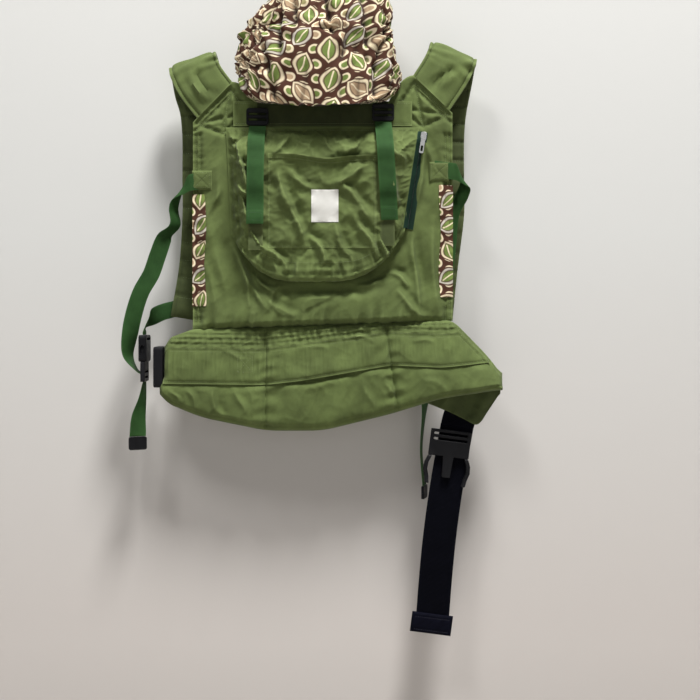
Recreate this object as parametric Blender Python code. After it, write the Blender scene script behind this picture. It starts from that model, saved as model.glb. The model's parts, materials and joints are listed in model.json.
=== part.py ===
"""Soft baby carrier, hung up by its two shoulder straps.

Sizes are in millimetres and become metres as each mesh is made. The pocket side faces -Y, +Z is up,
and the origin lies midway between the folds of the two shoulder straps.
"""

import math

import bmesh
import bpy
import numpy as np
from mathutils import Matrix, Vector

MM = 0.001
SMOOTH_ANGLE = 35.0
BEVEL_ANGLE = 50.0

# Plies of cloth, the gap between pieces that lie on each other, and the gap where webbing swings
GAP = 0.3
SWING_GAP = 0.9
CANVAS = 2.0
LINING = 1.5
WEBBING = 1.4

# Body panel, with the seam to the belt and the seams to the shoulder straps
BODY_WIDTH = 390.0
BODY_PADDING = 6.2
SEAM_Z = -398.0
SEAM_SLOPE = 0.035
ROOT_RUN = 58.5
ROOT_Z = -27.0
NECK_RUN = 24.5
NECK_Z = -64.0
BODY_FOLD = 3.0
BODY_FOLD_HALF_WIDTH = 150.0
BODY_FOLD_START = 0.83
BODY_FOLD_PITCH = 17.0
BODY_FOLD_LEAN = 30.0
BODY_INNER_STATIONS = (-80, -55, -30, 0, 30, 55, 80)
BAND_HALF_WIDTH = 134.0
BAND_CLEARANCE = 0.8
TRIM_WIDTH = 20.0
TRIM_HEIGHT = 168.0
TRIM_TOP_Z = -194.0

# Hood, gathered up above the neckline
HOOD_SEAM_Z = -61.0
HOOD_HEIGHT = 192.0
HOOD_HALF_WIDTH = 120.0
HOOD_HALF_DEPTH = 36.0
HOOD_FOLDS = 11
HOOD_FOLD_DEPTH = 0.07
HOOD_SEAM_HALF_DEPTH = 1.0
HOOD_RINGS = 13
HOOD_POINTS_ROUND = 44
HOOD_FLARE = 0.9
HOOD_TOP_START = 0.45
HOOD_TOP_REACH = 0.58
HOOD_SEAM_X = -5.0
HOOD_TOP_SHIFT = 24.0
HOOD_FOLD_TWIST = 2.2
HOOD_FOLD_START = 40.0
HOOD_OUTLINE = (
    (0, 0.86),
    (0.15, 0.95),
    (0.3, 1),
    (0.5, 0.97),
    (0.65, 0.89),
    (0.8, 0.72),
    (0.92, 0.5),
    (1, 0.24),
)

# Webbing straps that draw the hood down, and their ladder-lock buckles
HOOD_STRAP_X = 94.0
HOOD_STRAP_WIDTH = 25.0
HOOD_STRAP_DROP = 149.0
HOOD_STRAP_LEAN = {"left": 1.0, "right": 9.0}
HOOD_STRAP_RISE_X = 103.4
LADDER_WIDTH = 33.0
LADDER_HEIGHT = 26.0
LADDER_THICKNESS = 4.0
LADDER_BAR = 5.0
LADDER_SLOT = 3.4

# Pocket pouch with a slip pocket, a bare label and a zip along its right edge
POUCH_TOP_Z = -101.0
POUCH_HEIGHT = 229.0
POUCH_CORNER_RISE = 72.0
POUCH_HALF_WIDTH = 145.0
POUCH_LEFT_LEAN = 9.0
POUCH_RIGHT_LEAN = 27.0
POUCH_LEAN_HEIGHT = 175.0
POUCH_CORNER_POWER = 3.5
POUCH_DEPTH = 24.0
POUCH_RIM = 26.0
ZIP_MOUTH = 8.0
SLIP_WIDTH = 160.0
SLIP_TOP_Z = -148.0
SLIP_HEIGHT = 136.0
SLIP_PLY = 1.5
LABEL_WIDTH = 40.0
LABEL_HEIGHT = 48.0
LABEL_PLY = 0.8
LABEL_X = 4.0
LABEL_TOP_Z = -197.0
ZIP_TAPE_WIDTH = 12.0
ZIP_TAPE_PLY = 1.0
ZIP_TAPE_OFFSET = 8.0
ZIP_END_MARGIN = 6.0
SLIDER_WIDTH = 9.0
SLIDER_LENGTH = 13.0
SLIDER_THICKNESS = 5.0
PULL_WIDTH = 6.5
PULL_LENGTH = 26.0
PULL_THICKNESS = 1.4

# Padded shoulder straps
STRAP_WIDTH = 76.0
STRAP_END_WIDTH = 70.0
STRAP_THICKNESS = 13.0
STRAP_EDGE_DRAW = 0.45
STRAP_BACK_Y = 36.0
STRAP_BACK_IN = 17.0
STRAP_STEPS = 28
STRAP_FOLD_OUT = 2.5

# Chest strap on the back of the shoulder straps
CHEST_Z = -172.0
CHEST_TRACK_WIDTH = 15.0
CHEST_TRACK_LENGTH = 130.0
CHEST_WEBBING = 20.0
CHEST_SLIDER_WIDTH = 34.0
CHEST_SLIDER_HEIGHT = 24.0
CHEST_SLIDER_THICKNESS = 3.6
CHEST_SAG = 6.0
CHEST_FEMALE_LENGTH = 36.0
CHEST_MALE_BASE = 22.0
CHEST_BUCKLE_THICKNESS = 10.0

# Side-release buckles
BUCKLE_WALL = 2.2
BUCKLE_SIDE = 5.5
BUCKLE_BAR = 4.5
BUCKLE_SLOT = 3.6
BUCKLE_PLAY = 0.5
TINE = 5.0
FEMALE_BEVEL = 1.2
MALE_BEVEL = 0.6
SIDE_WEBBING = 25.0
SIDE_BUCKLE_LENGTH = 40.0
SIDE_BUCKLE_THICKNESS = 12.0
SIDE_BUCKLE_OUT = 74.0
SIDE_MOUTH_Z = -452.0
SIDE_BUCKLE_LEFT_Y = 10.0
SIDE_BUCKLE_RIGHT_IN = 38.0
SIDE_BUCKLE_RIGHT_Y = 24.5
MALE_BASE = 30.0
MALE_TINES = 24.0
TAIL_TAB_WIDTH = 27.0
TAIL_TAB_HEIGHT = 20.0
TAIL_TAB_THICKNESS = 4.0

# Waist belt in three sections, folding where the body's seam ends
BELT_LEFT_REACH = 43.0
BELT_RIGHT_REACH = 75.0
BELT_CROWN = 12.0
BELT_EDGE_DRAW = 0.75
BELT_CHANNEL = 3.5
BELT_CHANNEL_X = (-85.0, 100.0)
BELT_CHANNEL_WIDTH = 13.0
BELT_SEAM_SHARE = 0.56
BELT_LOWER_EDGE = (
    (-1.22, -512),
    (-0.938, -535),
    (-0.436, -555),
    (0, -555),
    (0.523, -530),
    (0.908, -507),
    (1.385, -493),
)
BELT_LEFT_TOP = ((0, 0), (36, -12), (43, -30))
BELT_RIGHT_TOP = ((0, 0), (52, -55), (75, -86))
BELT_FLAP_EDGE = ((0, -530), (39, -550), (63, -514), (75, -496))
BELT_BAND_PLY = 1.5

# Waist webbing with its buckle halves and the keeper at its end
WAIST_WEBBING = 50.0
WAIST_PLY = 1.8
WAIST_BUCKLE_LENGTH = 46.0
WAIST_BUCKLE_THICKNESS = 14.0
WAIST_FEMALE_Z = -460.0
WAIST_FEMALE_Y = 12.0
WAIST_HINGE_Z = -549.0
WAIST_HINGE_OUT = 8.0
WAIST_STRAP_LENGTH = 284.0
WAIST_STRAP_DRIFT = 37.0
WAIST_STRAP_BOW = 5.0
WAIST_ANCHOR_RISE = 70.0
WAIST_ANCHOR_LEAN = 0.5
WAIST_MALE_DROP = 4.0
WAIST_MALE_SHIFT = 8.0
WAIST_MALE_BASE = 40.0
WAIST_MALE_THICKNESS = 7.0
PRONG_LENGTH = 42.0
PRONG_WIDTH = 6.0
PRONG_BOW = 5.0
PRONG_ROOT_GAP = 0.6
TONGUE_WIDTH = 16.0
KEEPER_WIDTH = 62.0
KEEPER_HEIGHT = 30.0
KEEPER_THICKNESS = 8.0

# Looks: colour, roughness and metallic value
CANVAS_LOOK = ((0.115, 0.155, 0.048), 0.85, 0.0)
SHADE_LOOK = ((0.08, 0.105, 0.035), 0.9, 0.0)
PRINT_LOOK = ((0.30, 0.22, 0.13), 0.85, 0.0)
GREEN_WEBBING_LOOK = ((0.03, 0.085, 0.027), 0.7, 0.0)
NAVY_WEBBING_LOOK = ((0.004, 0.004, 0.010), 0.6, 0.0)
FOAM_LOOK = ((0.75, 0.73, 0.66), 0.95, 0.0)
PLASTIC_LOOK = ((0.008, 0.008, 0.009), 0.38, 0.0)
METAL_LOOK = ((0.62, 0.62, 0.60), 0.3, 1.0)
LABEL_LOOK = ((0.78, 0.77, 0.72), 0.8, 0.0)

# Places counted from the body's side edges
BODY_HALF = BODY_WIDTH / 2
ROOT_X = BODY_HALF - ROOT_RUN
NECK_X = ROOT_X - NECK_RUN
STRAP_BACK_X = BODY_HALF - STRAP_BACK_IN
STRAP_FOLD_X = BODY_HALF + STRAP_FOLD_OUT
SIDE_BUCKLE_LEFT_X = -BODY_HALF - SIDE_BUCKLE_OUT
SIDE_BUCKLE_RIGHT_X = BODY_HALF - SIDE_BUCKLE_RIGHT_IN
BELT_LEFT_X = -BODY_HALF - BELT_LEFT_REACH
BELT_RIGHT_X = BODY_HALF + BELT_RIGHT_REACH
WAIST_HINGE_X = BODY_HALF + WAIST_HINGE_OUT

# Front planes, counted forward from the body's flat front at Y = 0
BODY_BACK_Y = CANVAS + GAP + BODY_PADDING + GAP + LINING
POUCH_FRONT_Y = -(GAP + CANVAS + POUCH_DEPTH)
BAND_FRONT_Y = -(GAP + CANVAS)
HOOD_SEAM_Y = -(GAP + CANVAS / 2)
PADDING_BACK_Y = BODY_BACK_Y - LINING - GAP
SIDES = (("left", -1.0), ("right", 1.0))


for old in list(bpy.data.objects):
    bpy.data.objects.remove(old)

# Shared ways of making a piece


def add_object(name, bm, look, origin=(0.0, 0.0, 0.0)):
    """Makes a closed mesh into an object with its own material, turning about its origin."""
    bmesh.ops.recalc_face_normals(bm, faces=bm.faces)
    for vert in bm.verts:
        vert.co = (vert.co - Vector(origin)) * MM
    mesh = bpy.data.meshes.new(name)
    bm.to_mesh(mesh)
    bm.free()
    mesh.shade_smooth()
    mesh.set_sharp_from_angle(angle=math.radians(SMOOTH_ANGLE))
    obj = bpy.data.objects.new(name, mesh)
    obj.location = Vector(origin) * MM
    bpy.context.collection.objects.link(obj)
    colour, roughness, metallic = look
    material = bpy.data.materials.new(name)
    material.use_nodes = True
    shader = material.node_tree.nodes["Principled BSDF"]
    shader.inputs["Base Color"].default_value = (*colour, 1.0)
    shader.inputs["Roughness"].default_value = roughness
    shader.inputs["Metallic"].default_value = metallic
    mesh.materials.append(material)
    return obj


def layer(name, front, back, look, origin=(0.0, 0.0, 0.0)):
    """A closed ply between two grids of points that share one layout."""
    rows, columns = front.shape[:2]
    bm = bmesh.new()
    near = [[bm.verts.new(point) for point in row] for row in front]
    far = [[bm.verts.new(point) for point in row] for row in back]
    for i in range(rows - 1):
        for j in range(columns - 1):
            for side in (near, far):
                corner = side[i + 1][j + 1]
                bm.faces.new((side[i][j], side[i + 1][j], corner))
                bm.faces.new((side[i][j], corner, side[i][j + 1]))
    rim = [(0, j) for j in range(columns)]
    rim += [(i, columns - 1) for i in range(1, rows)]
    rim += [(rows - 1, j) for j in range(columns - 2, -1, -1)]
    rim += [(i, 0) for i in range(rows - 2, 0, -1)]
    for (i, j), (k, m) in zip(rim, rim[1:] + rim[:1]):
        bm.faces.new((near[i][j], near[k][m], far[k][m], far[i][j]))
    return add_object(name, bm, look, origin)


def grid(us, vs, point):
    return np.array([[point(u, v) for v in vs] for u in us])


def flat_ply(name, xs, top, bottom, back_y, ply, look):
    """A flat ply that runs from top(x) down to bottom(x), ply thick in front of back_y."""
    front = grid(xs, (0, 1), lambda x, v: (x, back_y - ply, bottom(x) if v else top(x)))
    back = front + np.array((0.0, ply, 0.0))
    return layer(name, front, back, look)


def smooth(points, count):
    """Rows read at even steps from a smooth curve through the given rows."""
    rows = np.array(points, float)
    ends = np.vstack((2 * rows[0] - rows[1], rows, 2 * rows[-1] - rows[-2]))
    found = []
    for place in np.linspace(0, len(rows) - 1, count):
        i = min(int(place), len(rows) - 2)
        t = place - i
        a, b, c, d = ends[i : i + 4]
        bend = (2 * a - 5 * b + 4 * c - d) * t * t + (3 * b - a - 3 * c + d) * t**3
        found.append(b + 0.5 * ((c - a) * t + bend))
    return np.array(found)


def unit(rows):
    return rows / np.linalg.norm(rows, axis=-1, keepdims=True)


def ribbon(name, centres, across, half_widths, low, high, shares, look, origin=(0.0, 0.0, 0.0)):
    """A strap along its centres. low(s) and high(s) are its faces at share s of its half width."""
    along = unit(np.gradient(centres, axis=0))
    across = unit(across)
    normals = unit(np.cross(along, across))
    faces = []
    for face in (low, high):
        rows = []
        for centre, side, half, normal in zip(centres, across, half_widths, normals):
            rows.append([centre + side * half * s + normal * face(s) for s in shares])
        faces.append(np.array(rows))
    return layer(name, faces[0], faces[1], look, origin)


def webbing(name, stations, width, ply, look, steps, origin=(0.0, 0.0, 0.0)):
    """Flat webbing through stations of x, y, z and the direction of its width."""
    rows = smooth(stations, steps)
    halves = np.full(steps, width / 2)
    half_ply = ply / 2
    return ribbon(
        name, rows[:, :3], rows[:, 3:], halves, lambda s: -half_ply, lambda s: half_ply, (-1, 1), look, origin
    )


def rounded(width, height, radius, centre=(0.0, 0.0), steps=3):
    """The outline of a rectangle with rounded corners."""
    points = []
    for turn, (sx, sy) in enumerate(((1, 1), (-1, 1), (-1, -1), (1, -1))):
        for step in range(steps + 1):
            angle = math.pi / 2 * (turn + step / steps)
            u = centre[0] + sx * (width / 2 - radius) + radius * math.cos(angle)
            v = centre[1] + sy * (height / 2 - radius) + radius * math.sin(angle)
            points.append((u, v))
    return points


def plate(name, outline, holes, thickness, place, look, bevel, origin=(0.0, 0.0, 0.0)):
    """A moulded plate with holes. place carries its own u, v and w axes into the part's frame."""
    bm = bmesh.new()
    edges = []
    for loop in [outline, *holes]:
        verts = [bm.verts.new((u, v, -thickness / 2)) for u, v in loop]
        edges += [bm.edges.new(pair) for pair in zip(verts, verts[1:] + verts[:1])]
    filled = bmesh.ops.triangle_fill(bm, use_beauty=True, edges=edges)
    faces = [item for item in filled["geom"] if isinstance(item, bmesh.types.BMFace)]
    raised = bmesh.ops.extrude_face_region(bm, geom=faces)
    moved = [item for item in raised["geom"] if isinstance(item, bmesh.types.BMVert)]
    bmesh.ops.translate(bm, verts=moved, vec=(0, 0, thickness))
    bmesh.ops.transform(bm, matrix=place, verts=bm.verts)
    obj = add_object(name, bm, look, origin)
    if bevel:
        rounding = obj.modifiers.new("edge_rounding", "BEVEL")
        rounding.width = bevel * MM
        rounding.segments = 1
        rounding.limit_method = "ANGLE"
        rounding.angle_limit = math.radians(BEVEL_ANGLE)
    return obj


def carve(obj, boxes, place):
    """Cuts boxes, given as low and high corners in the plate's own axes, out of a plate."""
    for number, (low, high) in enumerate(boxes):
        bm = bmesh.new()
        bmesh.ops.create_cube(bm, size=1.0)
        size = Vector(high) - Vector(low)
        middle = (Vector(high) + Vector(low)) / 2
        boxed = place @ Matrix.Translation(middle) @ Matrix.Diagonal((*size, 1))
        bmesh.ops.transform(bm, matrix=boxed, verts=bm.verts)
        cutter = add_object(f"{obj.name}_cutter_{number}", bm, PLASTIC_LOOK)
        cutter.hide_render = True
        cutter.display_type = "WIRE"
        cut = obj.modifiers.new("opening", "BOOLEAN")
        cut.operation = "DIFFERENCE"
        cut.object = cutter


def axes(origin, u, v):
    """The matrix that puts a plate's own axes at an origin, with u across and v along."""
    u = Vector(u).normalized()
    v = Vector(v).normalized()
    w = u.cross(v)
    matrix = Matrix((u, v, w)).transposed().to_4x4()
    matrix.translation = Vector(origin)
    return matrix


# Lines that several pieces share


def seam_z(x):
    return SEAM_Z + SEAM_SLOPE * x


def root_z(x):
    return ROOT_Z + SEAM_SLOPE * x - (abs(x) - ROOT_X)


def body_top(x):
    if abs(x) >= ROOT_X:
        return root_z(x)
    inner = ROOT_Z + SEAM_SLOPE * math.copysign(ROOT_X, x)
    share = min(1.0, (ROOT_X - abs(x)) / (ROOT_X - NECK_X))
    return inner + (NECK_Z - inner) * share


def body_bottom(x):
    return seam_z(x) + GAP


def lerp(a, b, share):
    return a + (b - a) * share


def ease(share):
    share = min(1.0, max(0.0, share))
    return share * share * (3 - 2 * share)


# Body panel: canvas front with soft folds above the belt, padding, and a print lining


def body():
    half = BODY_HALF
    mid = lerp(ROOT_X, half, 0.5)
    side = [NECK_X, lerp(NECK_X, ROOT_X, 0.5), ROOT_X, mid, half]
    xs = [-x for x in reversed(side)] + list(BODY_INNER_STATIONS) + side
    shares = (0, *np.linspace(BODY_FOLD_START, 1, 5))

    def front(x, share):
        reach = max(0.0, 1 - (x / BODY_FOLD_HALF_WIDTH) ** 2)
        down = max(0.0, (share - BODY_FOLD_START) / (1 - BODY_FOLD_START))
        rise = math.sin(math.pi * down) * reach
        wave = 0.5 + 0.5 * math.sin(x / BODY_FOLD_PITCH + share * BODY_FOLD_LEAN)
        return (x, -BODY_FOLD * rise * wave, lerp(body_top(x), body_bottom(x), share))

    face = grid(xs, shares, front)
    back = face.copy()
    back[:, :, 1] = CANVAS
    layer("body_panel", face, back, CANVAS_LOOK)
    flat_ply("body_padding", xs, body_top, body_bottom, PADDING_BACK_Y, BODY_PADDING, FOAM_LOOK)
    flat_ply("body_lining", xs, body_top, body_bottom, BODY_BACK_Y, LINING, PRINT_LOOK)


def body_trims():
    """The band below the neckline and the printed strips that cover the body's side edges."""
    band_bottom = POUCH_TOP_Z + GAP + CANVAS
    band_top = HOOD_SEAM_Z - BAND_CLEARANCE
    flat_ply(
        "head_band",
        (-BAND_HALF_WIDTH, BAND_HALF_WIDTH),
        lambda x: band_top,
        lambda x: band_bottom,
        -GAP,
        CANVAS,
        SHADE_LOOK,
    )
    for side, sign in SIDES:
        edge = sign * BODY_HALF
        xs = sorted((edge, edge - sign * TRIM_WIDTH))
        top = TRIM_TOP_Z + SEAM_SLOPE * edge
        flat_ply(
            f"side_trim_{side}", xs, lambda x: top, lambda x: top - TRIM_HEIGHT, -GAP, LINING, PRINT_LOOK
        )


# Hood: a sheet drawn up by elastic at its sides into a puffed bundle


def hood():
    bm = bmesh.new()
    loops = []
    for share in np.linspace(0, 1, HOOD_RINGS):
        height = HOOD_HEIGHT * share
        half_width = HOOD_HALF_WIDTH * np.interp(share, *zip(*HOOD_OUTLINE))
        over = max(0.0, share - HOOD_TOP_START) / HOOD_TOP_REACH
        round_top = math.sqrt(max(0.0, 1 - over**2))
        half_depth = min(HOOD_HALF_DEPTH * round_top, HOOD_SEAM_HALF_DEPTH + HOOD_FLARE * height)
        middle_x = HOOD_SEAM_X + HOOD_TOP_SHIFT * ease((share - 0.35) / 0.5)
        loop = []
        for step in range(HOOD_POINTS_ROUND):
            angle = 2 * math.pi * step / HOOD_POINTS_ROUND
            pucker = math.cos(HOOD_FOLDS * angle + HOOD_FOLD_TWIST * math.sin(3 * share))
            ripple = 1 + HOOD_FOLD_DEPTH * pucker * min(1.0, height / HOOD_FOLD_START)
            x = middle_x + half_width * math.cos(angle) * ripple
            y = HOOD_SEAM_Y + half_depth * math.sin(angle) * ripple
            loop.append(bm.verts.new((x, y, HOOD_SEAM_Z + height)))
        loops.append(loop)
    for low, high in zip(loops, loops[1:]):
        for a, b, c, d in zip(low, low[1:] + low[:1], high[1:] + high[:1], high):
            bm.faces.new((a, b, c))
            bm.faces.new((a, c, d))
    for loop in (loops[0], loops[-1]):
        bm.faces.new(loop)
    add_object("hood", bm, PRINT_LOOK, (0, HOOD_SEAM_Y, HOOD_SEAM_Z))


def hood_straps():
    """Ladder-lock buckles on the band, and the webbing that hangs from them over the pouch."""
    band_bottom = POUCH_TOP_Z + GAP + CANVAS
    buckle_y = BAND_FRONT_Y - GAP - LADDER_THICKNESS / 2
    for side, sign in SIDES:
        x = sign * HOOD_STRAP_X - SEAM_SLOPE * 100
        centre_z = band_bottom + LADDER_HEIGHT / 2 + SEAM_SLOPE * (x + HOOD_STRAP_RISE_X)
        slot_offset = LADDER_SLOT / 2 + LADDER_BAR / 2
        slots = []
        for way in (-1, 1):
            slots.append(rounded(HOOD_STRAP_WIDTH + 2, LADDER_SLOT, 1.2, (0, way * slot_offset), 1))
        plate(
            f"hood_buckle_{side}",
            rounded(LADDER_WIDTH, LADDER_HEIGHT, 4.0),
            slots,
            LADDER_THICKNESS,
            axes((x, buckle_y, centre_z), (1, 0, 0), (0, 0, 1)),
            PLASTIC_LOOK,
            0.8,
        )
        top = centre_z - LADDER_HEIGHT / 2 - SWING_GAP
        front = POUCH_FRONT_Y - GAP - WEBBING / 2
        lean = sign * HOOD_STRAP_LEAN[side]
        stations = []
        for share, drop in ((0, 0), (0.06, 2), (0.4, 7), (0.8, 13)):
            stations.append((x, lerp(buckle_y, front, share), top - drop, 1, 0, 0))
        for share in (0.16, 0.3, 0.65, 1.0):
            stations.append((x + lean * share, front - GAP, top - HOOD_STRAP_DROP * share, 1, 0, 0))
        webbing(
            f"hood_strap_{side}",
            stations,
            HOOD_STRAP_WIDTH,
            WEBBING,
            GREEN_WEBBING_LOOK,
            16,
            (x, buckle_y, top),
        )


# Pocket pouch: canvas sewn round its rim, standing off the body along the zip


def pouch_edges(z):
    share = (POUCH_TOP_Z - z) / POUCH_LEAN_HEIGHT
    return -POUCH_HALF_WIDTH + POUCH_LEFT_LEAN * share, POUCH_HALF_WIDTH - POUCH_RIGHT_LEAN * share


def pouch():
    us = (-1, -0.95, -0.88, -0.8, -0.6, -0.3, 0, 0.3, 0.6, 0.8, 0.88, 0.95, 1)
    vs = (0, 0.03, 0.07, 0.115, 0.5, 0.75, 0.88, 0.92, 0.96, 1)

    def front(u, v):
        bottom = POUCH_TOP_Z - POUCH_HEIGHT + POUCH_CORNER_RISE * abs(u) ** POUCH_CORNER_POWER
        z = lerp(POUCH_TOP_Z, bottom, v)
        left, right = pouch_edges(z)
        x = lerp(left, right, (u + 1) / 2)
        from_ends = min(POUCH_TOP_Z - z, z - bottom) / POUCH_RIM
        swell = min(ease(from_ends), ease((x - left) / POUCH_RIM), 1.0)
        mouth = lerp(ZIP_MOUTH / POUCH_DEPTH, 1.0, ease((right - x) / POUCH_RIM))
        depth = POUCH_DEPTH * min(swell, mouth)
        return (x, -(GAP + CANVAS) - depth, z)

    face = grid(us, vs, front)
    layer("pocket_pouch", face, face + np.array((0.0, CANVAS, 0.0)), CANVAS_LOOK)
    slip_y = POUCH_FRONT_Y - GAP
    half = SLIP_WIDTH / 2
    flat_ply(
        "slip_pocket",
        (-half, half),
        lambda x: SLIP_TOP_Z,
        lambda x: SLIP_TOP_Z - SLIP_HEIGHT,
        slip_y,
        SLIP_PLY,
        CANVAS_LOOK,
    )
    flat_ply(
        "label_patch",
        (LABEL_X - LABEL_WIDTH / 2, LABEL_X + LABEL_WIDTH / 2),
        lambda x: LABEL_TOP_Z,
        lambda x: LABEL_TOP_Z - LABEL_HEIGHT,
        slip_y - SLIP_PLY - GAP,
        LABEL_PLY,
        LABEL_LOOK,
    )


def zip_fastener():
    """The zip's tape on the body, and the slider with its pull at the top of the open zip."""
    top = POUCH_TOP_Z - ZIP_END_MARGIN
    bottom = POUCH_TOP_Z - POUCH_HEIGHT + POUCH_CORNER_RISE + ZIP_END_MARGIN
    ends = [np.array((pouch_edges(z)[1], 0.0, z)) for z in (top, bottom)]
    along = unit(ends[1] - ends[0])
    across = np.array((-along[2], 0.0, along[0]))
    tape_y = -GAP - ZIP_TAPE_PLY / 2
    lift = np.array((0.0, tape_y, 0.0))
    stations = [(*(end + across * ZIP_TAPE_OFFSET + lift), *across) for end in ends]
    webbing("zip_tape", stations, ZIP_TAPE_WIDTH, ZIP_TAPE_PLY, GREEN_WEBBING_LOOK, 2)
    slider_y = -GAP - ZIP_TAPE_PLY - GAP - SLIDER_THICKNESS / 2
    spot = ends[0] + across * ZIP_TAPE_OFFSET + along * SLIDER_LENGTH / 2
    spot[1] = slider_y
    plate(
        "zip_slider",
        rounded(SLIDER_WIDTH, SLIDER_LENGTH, 2.5),
        [],
        SLIDER_THICKNESS,
        axes(spot, across, -along),
        METAL_LOOK,
        0.9,
        spot,
    )
    hinge = spot.copy()
    hinge[1] = slider_y - SLIDER_THICKNESS / 2 - GAP - PULL_THICKNESS / 2
    plate(
        "zip_pull",
        rounded(PULL_WIDTH, PULL_LENGTH, 2.0, (0, -PULL_LENGTH / 2)),
        [rounded(PULL_WIDTH - 3, PULL_LENGTH / 3, 1.0, (0, -PULL_LENGTH * 0.72), 1)],
        PULL_THICKNESS,
        axes(hinge, across, -along),
        METAL_LOOK,
        0,
        hinge,
    )


# Shoulder straps: canvas, foam and lining from the root seam over the fold and down the back


def strap_path(sign):
    """Rows of centre, width direction and half width along one shoulder strap."""
    slope = 1 - sign * SEAM_SLOPE
    turn = math.atan(slope)
    half = STRAP_WIDTH / 2
    root_x = sign * (ROOT_X + half * math.cos(turn))
    lift = GAP * 1.6
    mid_y = BODY_BACK_Y / 2
    higher = SEAM_SLOPE * sign * STRAP_FOLD_X
    edge = BODY_HALF
    back_x = STRAP_BACK_X
    start_x = abs(root_x) + lift * math.sin(turn)
    start_z = root_z(root_x) + lift * math.cos(turn)
    fold = (
        (start_x, mid_y, start_z, math.degrees(turn)),
        (edge - 12.0, mid_y, -25.0 + higher, 36.0),
        (edge - 0.5, mid_y + 4, -2.0 + higher, 23.0),
        (STRAP_FOLD_X, lerp(mid_y, STRAP_BACK_Y, 0.5), 9.0 + higher, 20.0),
        (edge, STRAP_BACK_Y - 5, -3.0 + higher, 14.0),
        (edge - 6.0, STRAP_BACK_Y, -38.0 + higher, 6.0),
        (back_x + 3, STRAP_BACK_Y, -75.0, 2.0),
        (back_x, STRAP_BACK_Y, -115.0, 0.0),
        (back_x, STRAP_BACK_Y, -170.0, 0.0),
        (back_x, STRAP_BACK_Y, -230.0, 0.0),
    )
    low = ((edge - 9.0, STRAP_BACK_Y - 1, -310.0, -8.0), (edge + 4.0, STRAP_BACK_Y - 3, -390.0, -10.0))
    if sign > 0:
        low = ((edge - 24.0, STRAP_BACK_Y - 1, -310.0, 5.0), (edge - 32.0, STRAP_BACK_Y - 3, -388.0, 5.0))
    rows = []
    for number, (x, y, z, roll) in enumerate(fold + low):
        tilt = math.radians(roll)
        width = STRAP_WIDTH if number < len(fold) else STRAP_END_WIDTH
        rows.append((sign * x, y, z, math.cos(tilt), 0.0, -sign * math.sin(tilt), width / 2))
    return smooth(rows, STRAP_STEPS)


def strap_face(share):
    return STRAP_THICKNESS / 2 * (1 - STRAP_EDGE_DRAW * share**4)


def shoulder_straps():
    shares = (-1, -0.75, -0.3, 0.3, 0.75, 1)
    plies = (
        ("cover", lambda s: -strap_face(s), lambda s: -strap_face(s) + CANVAS, CANVAS_LOOK),
        ("foam", lambda s: -strap_face(s) + CANVAS + GAP, lambda s: strap_face(s) - LINING - GAP, FOAM_LOOK),
        ("lining", lambda s: strap_face(s) - LINING, strap_face, SHADE_LOOK),
    )
    for side, sign in SIDES:
        rows = strap_path(sign)
        for ply, low, high, look in plies:
            ribbon(f"strap_{ply}_{side}", rows[:, :3], rows[:, 3:6], rows[:, 6], low, high, shares, look)


# Side-release buckles in their own axes: u across, v from the male half into the female half


def female_half(name, strap, length, thickness, place, origin=(0.0, 0.0, 0.0)):
    width = strap + 2 * BUCKLE_SIDE
    obj = plate(
        name,
        rounded(width, length, 5.0, (0, length / 2)),
        [rounded(strap + 1, BUCKLE_SLOT, 1.0, (0, length - BUCKLE_BAR - BUCKLE_SLOT / 2), 1)],
        thickness,
        place,
        PLASTIC_LOOK,
        FEMALE_BEVEL,
        origin,
    )
    inner_half = width / 2 - BUCKLE_WALL
    deep = length - 2 * BUCKLE_BAR - BUCKLE_SLOT
    thin = thickness / 2 - BUCKLE_WALL
    window = (0.3 * length, 0.62 * length)
    carve(
        obj,
        (
            ((-inner_half, -1, -thin), (inner_half, deep, thin)),
            ((-width, window[0], -thin + 0.6), (width, window[1], thin - 0.6)),
        ),
        place,
    )
    return obj


def male_half(name, strap, base, tines, thickness, place, origin):
    half = strap / 2 + BUCKLE_SIDE - 1
    reach = strap / 2 + BUCKLE_SIDE - BUCKLE_WALL - BUCKLE_PLAY
    tongue = strap / 5
    outline = [
        (-half, -base),
        (half, -base),
        (half, -GAP),
        (reach, -GAP),
        (reach, 0.7 * tines),
        (reach - TINE * 0.4, tines),
        (reach - TINE, tines),
        (reach - TINE, -GAP),
        (tongue, -GAP),
        (tongue * 0.7, 0.8 * tines),
        (-tongue * 0.7, 0.8 * tines),
        (-tongue, -GAP),
        (TINE - reach, -GAP),
        (TINE - reach, tines),
        (TINE * 0.4 - reach, tines),
        (-reach, 0.7 * tines),
        (-reach, -GAP),
        (-half, -GAP),
    ]
    slots = []
    for number in range(2):
        middle = -base + BUCKLE_BAR + BUCKLE_SLOT / 2 + number * (BUCKLE_BAR + BUCKLE_SLOT)
        slots.append(rounded(strap + 1, BUCKLE_SLOT, 1.0, (0, middle), 1))
    return plate(name, outline, slots, thickness, place, PLASTIC_LOOK, MALE_BEVEL, origin)


# Side webbing: sewn flat on the body, hanging to the buckle that joins it to the shoulder strap


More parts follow.
